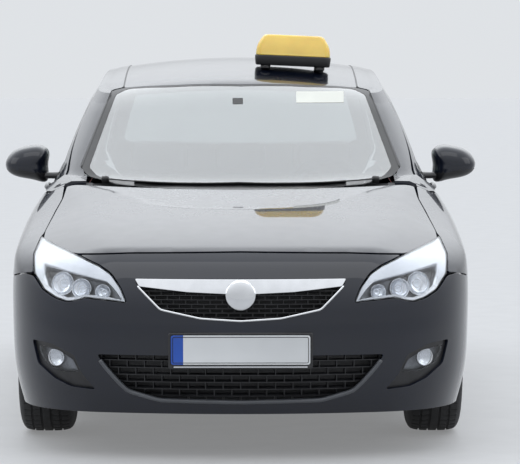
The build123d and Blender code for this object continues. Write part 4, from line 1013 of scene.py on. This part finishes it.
hub_profile = [
    (0, -0.03), (0.06, -0.03), (0.07, -0.01), (0.0715, 0.0), (0.0705, 0.04), (0.068, 0.05), (0.064, 0.056),
    (0.04, 0.0595), (0.034, 0.0575), (0.031, 0.0585), (0.03, 0.0625), (0.026, 0.065), (0.014, 0.0665), (0, 0.067),
]
disc_profile = [
    (0.074, -0.03), (0.1395, -0.03), (0.1395, -0.0225), (0.13, -0.0215), (0.13, -0.0165), (0.1395, -0.0155),
    (0.1395, -0.008), (0.074, -0.008),
]
nut_profile = [(0, 0.05), (0.0095, 0.05), (0.0105, 0.052), (0.0105, 0.0625), (0.009, 0.0645), (0, 0.065)]
alloy = finish(
    "painted_alloy", (0.52, 0.53, 0.55), 0.28, mottle=0.08, broad=18, bump=0.06, grain=1400, depth=0.0001, Metallic=0.9,
    Coat_Weight=0.6, Coat_Roughness=0.06,
)
disc_steel = finish("brake_disc", (0.33, 0.32, 0.31), 0.38, mottle=0.3, broad=60, bump=0.3, grain=500, Metallic=1.0)
spoke_knots = np.array([0.05, 0.1, 0.15, 0.2, 0.214])
spoke_at = np.linspace(0.05, 0.2125, 14)
spoke_across = spline(spoke_at, spoke_knots, np.array([0.0155, 0.0195, 0.0255, 0.0335, 0.036]))
spoke_wide = spline(spoke_at, spoke_knots, np.array([0.03, 0.0245, 0.0215, 0.023, 0.03]))
spoke_face = spline(spoke_at, spoke_knots, np.array([0.0575, 0.064, 0.0665, 0.066, 0.062]))
spoke_rings = np.stack([rounded(wide, 0.022, 0.0055, 4) for wide in spoke_wide])


def spoke(turn, way):
    """Rings of one spoke arm: a rounded bar whose width, face and sideways place are smooth functions of the radius.
    `way` is the side of its pair, and `turn` the pair's place round the wheel."""
    u = way * spoke_across[:, None] + spoke_rings[..., 0]
    x = spoke_face[:, None] - 0.011 + spoke_rings[..., 1]
    r = np.repeat(spoke_at[:, None], spoke_rings.shape[1], axis=1)
    return np.stack([x, r * np.cos(turn) - u * np.sin(turn), r * np.sin(turn) + u * np.cos(turn)], axis=-1)


for end, track_x, axle_y in (("front", 0.772, FRONT_AXLE / 1000), ("rear", 0.779, REAR_AXLE / 1000)):
    for side, sign in (("left", 1), ("right", -1)):
        body, flip = f"{end}_wheel_{side}", np.array((sign, 1, 1))
        centre = np.array((track_x, axle_y, TYRE_RADIUS)) * flip
        slant = (0.5 * np.abs(tyre_section[:, 0]) / TREAD_HALF) * 2 * pi / pitches
        turn = base_turn[:, None] + slant
        radius = tyre_section[:, 1] - np.maximum(cut, sipe[:, None] * siped)
        points = np.stack([
            np.broadcast_to(tyre_section[:, 0], turn.shape), radius * np.cos(turn), radius * np.sin(turn),
        ], axis=-1)[:, ::-sign] * flip + centre
        tyre = mesh_piece(
            f"{end}_tyre_body_{side}", points.reshape(-1, 3), cells(*points.shape[:2], ring_closed=True), body, rubber,
        )
        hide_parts(f"{end}_tyre_{side}")
        axle = (sign, 0, 0)
        rim = turned(f"{end}_wheel_rim_{side}", rim_profile, centre, axle, body, alloy, steps=120, closed=True)
        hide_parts(f"{end}_rim_{side}")
        turned(f"{end}_wheel_hub_{side}", hub_profile, centre, axle, body, alloy, steps=72)
        turned(f"{end}_brake_disc_{side}", disc_profile, centre, axle, body, disc_steel, steps=96, closed=True)
        for number, angle in enumerate(np.linspace(0, 2 * pi, 5, endpoint=False)):
            nut_place = centre + (0, 0.0515 * np.sin(angle), 0.0515 * np.cos(angle))
            turned(f"{end}_wheel_nut_{side}_{number}", nut_profile, nut_place, axle, body, bright, steps=6)
            for name, way in (("a", 1), ("b", -1)):
                arm = spoke(angle + pi / 5, way)[:, ::sign] * flip + centre
                lofted(f"{end}_spoke_{side}_{number}{name}", arm, body, alloy)

# The wheel housings: behind each wheel a moulded wall closes the arch from the liner inwards.
for name, x, axle_y, radius in (
    ("front", 0.472, FRONT_AXLE / 1000, 0.43), ("rear", 0.641, REAR_AXLE / 1000, 0.405),
):
    sweep = np.radians(np.linspace(-22, 202, 60))
    edge = np.c_[axle_y + radius * np.cos(sweep), np.minimum(0.33 + radius * np.sin(sweep), 0.745)]
    for side, sign in (("left", 1), ("right", -1)):
        walls = np.stack([np.insert(edge, 0, x + step, axis=1) for step in (0, 0.001, 0.003)])[:, ::sign] * (sign, 1, 1)
        housing = lofted(f"{name}_wheel_housing_{side}", walls, "car_body", trim)

# The door handles: a painted grip over each cup, on two feet. The grip is an oval swept along a line that stands
# clear of the door in its middle and comes down to it at both ends.
for end, handle_y in (("front", 0.14), ("rear", 1.04)):
    at = np.linspace(-1, 1, 29)
    grip_flat = np.c_[handle_y + 0.098 * at, np.full(29, 0.905)]
    under_grip = settle(*rays("side", grip_flat))
    grip_normal = shell_normal(under_grip)
    clear_of = (0.03 - 0.018 * np.abs(at) ** 3)[:, None]
    middle = under_grip + clear_of * grip_normal
    ahead = np.gradient(middle, axis=0)
    rise = np.cross(grip_normal, ahead)
    rise /= np.linalg.norm(rise, axis=1)[:, None]
    thick = np.sqrt(np.maximum(1 - np.abs(at) ** 6, 0.004))[:, None, None]
    oval = np.linspace(0, 2 * pi, 20, endpoint=False)[None, :, None]
    bulge = 0.0075 * np.cos(oval) * grip_normal[:, None] + 0.0135 * np.sin(oval) * rise[:, None]
    grip = middle[:, None] + thick * bulge
    for side, sign in (("left", 1), ("right", -1)):
        body, flip = f"{end}_door_{side}_body", np.array((sign, 1, 1))
        lofted(f"{end}_grip_{side}", grip[:, ::-sign] * flip, body, paint)
        for number, k in enumerate((3, 25)):
            out = grip_normal[k] * flip
            stem = [(0.011, -0.012), (0.01, 0.004), (0.0085, 0.012), (0.009, 0.022)]
            turned(f"{end}_grip_foot_{side}_{number}", stem, under_grip[k] * flip, out, body, paint, steps=24)

# The tail lamps: a thick red cover on each quarter panel beside the tailgate, with a dark housing behind it that
# hides it from the cabin.
lamp_red = finish(
    "tail_lamp_red", (0.42, 0.004, 0.006), 0.12, mottle=0.25, broad=40, bump=0.1, grain=120, Coat_Weight=0.6,
    Coat_Roughness=0.03, Transmission_Weight=0.1, IOR=1.45,
)
tail_lamp_line = seam([
    (616, N, 805), (667, N, 915), (716, N, 951), (N, 1932, 951), (N, 1932, 805),
], "stern", soft=2, pitch=0.006)
tail_lamp_back = seam([
    (616, N, 805), (667, N, 915), (716, N, 951), (N, 1915, 951), (N, 1915, 805),
], "stern", soft=2, pitch=0.006, grow=0.006)
for side, flip in (("left", False), ("right", True)):
    lamp = pressed(
        f"tail_lamp_cover_{side}", [tail_lamp_line], "stern", "car_body", lamp_red, "tail_lamps", wall=0.02, roll=0.002,
        flip=flip, pitch=0.012,
    )
    pressed(
        f"tail_lamp_housing_{side}", [tail_lamp_back], "stern", "car_body", trim, wall=0.004, roll=0.001, flip=flip,
        sink=0.024, pitch=0.016,
    )

# The wipers: a rubber blade under a bowed spine, carried by an arm from a cap on the scuttle at each lower corner.
wiper_black = finish("wiper_black", (0.012, 0.012, 0.013), 0.45, mottle=0.2, broad=30, bump=0.15, grain=700)


def on_screen(x, z, out):
    """Points over the windscreen at front view places (x, z), `out` metres above the glass."""
    points = settle(*rays("front", np.c_[x, z]))
    return points + np.reshape(out, (-1, 1)) * shell_normal(points)


for number, (pivot, tip) in enumerate([(0.56, -0.008), (-0.56, -0.004)]):
    share = np.linspace(0.22, 1, 41)
    x = pivot + share * (tip - pivot)
    z = 0.966 + 0.04 * (np.abs(x) / 0.63) ** 2.5 + 0.001 + 0.015 * share
    blade = on_screen(x, z, 0.0055)
    facing = shell_normal(blade)
    edge = [(-0.001, -0.005), (0.001, -0.005), (0.0025, 0.0), (0.0035, 0.002), (-0.0035, 0.002), (-0.0025, 0.0)]
    rubber_blade = carried(f"wiper_blade_{number}", blade, facing, edge, "car_body", wiper_black)
    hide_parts("wipers")
    spine = [(-0.0045, 0.0), (0.0045, 0.0), (0.004, 0.0025), (0.0, 0.004), (-0.004, 0.0025)]
    carried(f"wiper_spine_{number}", blade + 0.0022 * facing, facing, spine, "car_body", wiper_black)
    reach = np.linspace(0, 0.52, 22)
    arm_x = pivot + reach * (tip - pivot)
    foot_z = 0.966 + 0.04 * (np.abs(arm_x) / 0.63) ** 2.5
    arm_z = foot_z - 0.003 + 0.0118 * (reach / 0.52) ** 1.5
    arm = on_screen(arm_x, arm_z, 0.0095 + 0.003 * np.sin(pi * reach / 0.52))
    bar_shape = [(-0.005, -0.002), (0.005, -0.002), (0.004, 0.002), (-0.004, 0.002)]
    carried(f"wiper_arm_{number}", arm, shell_normal(arm), bar_shape, "car_body", wiper_black)
    cap = [(0.015, -0.016), (0.016, -0.006), (0.016, 0.003), (0.013, 0.0075), (0.006, 0.009), (0, 0.0092)]
    turned(f"wiper_cap_{number}", cap, arm[0], shell_normal(arm[:1])[0], "car_body", wiper_black, steps=32)

# On the windscreen: a black sensor patch behind the glass's upper edge, and a pale sticker that is left blank.
paper = finish("sticker_paper", (0.78, 0.78, 0.7), 0.5, mottle=0.05, bump=0.1, grain=400)
for name, line, look in (
    ("sensor_patch", [(-34, N, 1323), (11, N, 1323), (11, N, 1298), (-34, N, 1298)], print_black),
    ("blank_sticker", [(241, N, 1350), (449, N, 1350), (446, N, 1303), (240, N, 1303)], paper),
):
    pressed(
        name, [seam(line, "screen", soft=1, pitch=0.004)], "screen", "car_body", look, wall=0.0005, roll=0.0001,
        sink=-0.0008,
    )

# The seats: foam pads under a tight woven cover, with sewn channels and firm side bolsters. The front pair stand on
# steel rails, the rear one lies on the raised floor, and the head restraints have bright posts.
cloth = finish(
    "woven_seat_cloth", (0.045, 0.047, 0.053), 0.85, mottle=0.18, broad=30, bump=0.0, Sheen_Weight=0.35,
    Sheen_Roughness=0.4,
)
weave_tree = cloth.node_tree
weave_lift = node_into(
    weave_tree, "ShaderNodeBump", weave_tree.nodes["Principled BSDF"], "Normal", "Normal",
    Strength=0.5, Distance=0.0006,
)
weave_sum = node_into(weave_tree, "ShaderNodeMath", weave_lift, "Height", "Value", operation="MULTIPLY")
for socket, way in enumerate("XZ"):
    thread = node_into(
        weave_tree, "ShaderNodeTexWave", weave_sum, socket, "Fac", bands_direction=way, Scale=130.0, Distortion=0.6,
    )
    thread.inputs["Detail"].default_value = 1.0
    weave_tree.links.new(weave_tree.nodes["Texture Coordinate"].outputs["Object"], thread.inputs["Vector"])
steel = finish(
    "sealed_steel", (0.035, 0.036, 0.038), 0.5, mottle=0.4, broad=12, bump=0.4, grain=260, depth=0.0006, Metallic=0.4,
)


def eased(corners, pitch, soft):
    """A closed polygon, in mm, spaced evenly at `pitch` and rounded by averaging neighbours `soft` times."""
    closed = np.array([*corners, corners[0]], float) / 1000
    along = np.r_[0, np.cumsum(np.linalg.norm(np.diff(closed, axis=0), axis=1))]
    at = np.linspace(0, along[-1], int(along[-1] / pitch), endpoint=False)
    line = np.stack([np.interp(at, along, closed[:, k]) for k in (0, 1)], axis=1)
    for _ in range(soft):
        line = (np.roll(line, 1, axis=0) + 2 * line + np.roll(line, -1, axis=0)) / 4
    return line


def side_pad(corners, x0, x1, inset, dip=0.0, bolster=0.62):
    """Rings of a pad from its side view (y, z), across x. Near both ends the line moves in along its own normal by
    inset * (1 - sqrt(1 - s²)), which rounds them. Between the bolsters the front face dips by `dip`."""
    line = eased(corners, 0.012, 14)
    tangent = np.roll(line, -1, axis=0) - np.roll(line, 1, axis=0)
    turning = np.sign(np.cross(line, np.roll(line, -1, axis=0)).sum())
    normal = np.c_[tangent[:, 1], -tangent[:, 0]] / np.linalg.norm(tangent, axis=1)[:, None] * turning
    ends = inset * (1 - np.cos(np.linspace(0, pi / 2, 7)))
    x = np.r_[x0 + ends, np.linspace(x0 + inset, x1 - inset, 27)[1:-1], (x1 - ends)[::-1]]
    s = np.clip(1 - np.minimum(x - x0, x1 - x) / inset, 0, 1)
    shrink = inset * 0.85 * (1 - np.sqrt(1 - s**2 * 0.999))
    off = np.abs(x - (x0 + x1) / 2) / ((x1 - x0) / 2)
    middle = 0.5 * (1 + np.cos(pi * np.clip((off - bolster + 0.1) / 0.2, 0, 1)))
    face = np.clip(0.7 * normal[:, 1] - 0.72 * normal[:, 0], 0, 1) ** 2
    inwards = shrink[:, None] + dip * middle[:, None] * face
    flat = line - inwards[..., None] * normal
    rings = np.concatenate([np.broadcast_to(x[:, None, None], (*flat.shape[:2], 1)), flat], axis=-1)
    return rings if turning > 0 else rings[:, ::-1]


def filled(name, rings, body, material, voxel, cap, channels=(), twin=None):
    """A pad swollen by its stuffing. The rings' form is remeshed and blown up by Cloth at pressure 4 with no gravity
    for 20 frames, and no point goes further than `cap`. After one subdivision, channels given as (axis, place, low,
    high, axis along) sink in by depth * exp(-(distance / width)²). A twin is its mirror image on the other side."""
    pad = mesh_piece(name, rings.reshape(-1, 3), cells(*rings.shape[:2], lids=True), body, material)
    even = pad.modifiers.new("even_skin", "REMESH")
    even.mode = "VOXEL"
    even.voxel_size = voxel
    even.use_smooth_shade = True
    graph = bpy.context.evaluated_depsgraph_get()
    pad.data = bpy.data.meshes.new_from_object(pad.evaluated_get(graph))
    pad.modifiers.clear()
    start = np.empty(len(pad.data.vertices) * 3)
    pad.data.vertices.foreach_get("co", start)
    start = start.reshape(-1, 3)
    stuffing = pad.modifiers.new("stuffing", "CLOTH")
    stuffing.settings.use_pressure = True
    stuffing.settings.uniform_pressure_force = 4.0
    stuffing.settings.effector_weights.gravity = 0.0
    for number in range(1, 21):
        scene.frame_set(number)
    graph = bpy.context.evaluated_depsgraph_get()
    blown = pad.evaluated_get(graph).to_mesh()
    swollen = np.empty(len(start) * 3)
    blown.vertices.foreach_get("co", swollen)
    pad.evaluated_get(graph).to_mesh_clear()
    scene.frame_set(1)
    pad.modifiers.clear()
    moved = swollen.reshape(-1, 3) - start
    far = np.maximum(np.linalg.norm(moved, axis=1, keepdims=True), 1e-9)
    pad.data.vertices.foreach_set("co", (start + moved * np.minimum(1, cap / far)).ravel())
    finer = pad.modifiers.new("finer", "SUBSURF")
    finer.levels = finer.render_levels = 1
    graph = bpy.context.evaluated_depsgraph_get()
    pad.data = bpy.data.meshes.new_from_object(pad.evaluated_get(graph))
    pad.modifiers.clear()
    count = len(pad.data.vertices)
    points, normals = np.empty(count * 3), np.empty(count * 3)
    pad.data.vertices.foreach_get("co", points)
    pad.data.vertex_normals.foreach_get("vector", normals)
    points, normals = points.reshape(-1, 3), normals.reshape(-1, 3)
    depth = np.zeros(count)
    for axis, place, along, low, high in channels:
        inside = (points[:, along] > low) & (points[:, along] < high)
        depth = np.maximum(depth, np.where(inside, 0.006 * np.exp(-(((points[:, axis] - place) / 0.006) ** 2)), 0))
    facing = np.clip(1.6 * (0.7 * normals[:, 2] - 0.72 * normals[:, 1]), 0, 1)
    points = points - (depth * facing)[:, None] * normals
    pad.data.vertices.foreach_set("co", points.ravel())
    pad.data.polygons.foreach_set("use_smooth", np.full(len(pad.data.polygons), True))
    pads = [pad]
    if twin:
        turned_faces = np.array([tuple(face.vertices) for face in pad.data.polygons])[:, ::-1]
        pads.append(mesh_piece(twin, points * (-1, 1, 1), turned_faces, body, material))
    return pads


FRONT_SEAT, REAR_SEAT = (0.147, 0.613), (-0.593, 0.593)
front_cushion = [(-392, 306), (-392, 416), (-335, 462), (60, 422), (152, 432), (152, 306)]
front_back = [(66, 346), (164, 346), (322, 930), (262, 955), (212, 934), (66, 472)]
rear_cushion = [(738, 368), (738, 466), (784, 497), (1110, 462), (1210, 462), (1210, 368)]
rear_back = [(1118, 420), (1226, 406), (1410, 892), (1338, 920), (1296, 898), (1108, 498)]
rest_side = [(-40, 14), (-34, 150), (-12, 168), (24, 168), (40, 150), (42, 30), (22, 12), (-20, 10)]
cross = [(1, y, 0, 0.24, 0.52) for y in (-0.27, -0.16, -0.05)]
filled(
    "seat_cushion_left", side_pad(front_cushion, *FRONT_SEAT, 0.05, 0.022), "car_body", cloth, 0.015, 0.007,
    [(0, 0.238, 1, -0.4, 0.09), (0, 0.522, 1, -0.4, 0.09), *cross], "seat_cushion_right",
)
across_back = [(2, z, 0, 0.24, 0.52) for z in (0.56, 0.67, 0.78)]
backs = filled(
    "seat_back_left", side_pad(front_back, *FRONT_SEAT, 0.05, 0.026), "car_body", cloth, 0.015, 0.007,
    [(0, 0.238, 2, 0.46, 0.9), (0, 0.522, 2, 0.46, 0.9), *across_back], "seat_back_right",
)
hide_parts("front_seats")
rear_lines = [(0, x, 1, 0.7, 1.12) for x in (-0.19, 0.19)] + [(1, 0.9, 0, -0.6, 0.6), (1, 1.02, 0, -0.6, 0.6)]
filled(
    "rear_cushion_pad", side_pad(rear_cushion, *REAR_SEAT, 0.05, 0.012, 0.8), "car_body", cloth, 0.015, 0.007,
    rear_lines,
)
rear_rows = [(0, x, 2, 0.5, 0.93) for x in (-0.19, 0.19)] + [(2, z, 0, -0.6, 0.6) for z in (0.6, 0.71, 0.82)]
back_pads = filled(
    "rear_back_pad", side_pad(rear_back, *REAR_SEAT, 0.05, 0.012, 0.8), "car_body", cloth, 0.015, 0.007, rear_rows,
)
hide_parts("rear_seat")
tilt = radians(14)
post = [(0, -0.05), (0.006, -0.05), (0.006, 0.05), (0, 0.05)]
for name, x, tip, twin in (
    ("front_rest_left", 0.38, (0.29, 0.934), "front_rest_right"),
    ("rear_rest_left", 0.38, (1.38, 0.894), "rear_rest_right"),
    ("rear_rest_middle", 0.0, (1.38, 0.894), None),
):
    rest = side_pad(rest_side, x - 0.122, x + 0.122, 0.035)
    y = rest[..., 1] * np.cos(tilt) + rest[..., 2] * np.sin(tilt)
    z = rest[..., 2] * np.cos(tilt) - rest[..., 1] * np.sin(tilt)
    rest = np.stack([rest[..., 0], y + tip[0], z + tip[1] + 0.012], axis=-1)
    filled(name, rest, "car_body", cloth, 0.012, 0.005, [], twin)
    for number, place in enumerate(sorted({x - 0.06, x + 0.06, 0.06 - x, -x - 0.06})):
        turned(
            f"{name}_post_{number}", post, (place, tip[0], tip[1] - 0.005), (0, np.sin(tilt), np.cos(tilt)), "car_body",
            bright, steps=20,
        )
rail = [
    (0, 44, 520, 6), (3, 50, 526, 8), (12, 50, 526, 8), (14, 34, 520, 6), (84, 30, 500, 6), (94, 44, 460, 8),
    (99, 44, 450, 6),
]
for number, x in enumerate((-0.55, -0.21, 0.21, 0.55)):
    lofted(f"seat_rail_{number}", levels(rail, (x, -0.13, 0.2045), (1, 0, 0), (0, 1, 0)), "car_body", steel)

# What lies inside and underneath keeps its pressed, cast or moulded form: floor and frame are painted or sealed
# steel, the engine and uprights are castings, the exhaust is bare pipe, and liners and dashboard are moulded plastic.
casting = finish(
    "cast_metal", (0.3, 0.3, 0.305), 0.5, mottle=0.25, broad=28, bump=0.5, grain=420, depth=0.0007, Metallic=0.8,
)
pipe = finish("heat_stained_pipe", (0.36, 0.33, 0.29), 0.36, mottle=0.35, broad=6, bump=0.2, grain=180, Metallic=1.0)
kept = {
    paint: ["inner_wings", "bulkhead", "side_frame_left", "side_frame_right"],
    steel: ["floor_pan", "front_subframe", "rear_axle"],
    casting: ["engine", "knuckle_left", "knuckle_right"],
    pipe: ["exhaust"],
    trim: ["arch_liners", "cowl_tray", "radiator", "fuel_tank", "dashboard", "steering_wheel"],
}
for look, names in kept.items():
    for name in names:
        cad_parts[name].data.materials.clear()
        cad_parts[name].data.materials.append(look)

size = {"cad": [list(v) for v in cad_box], "visual": [list(v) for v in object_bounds()]}
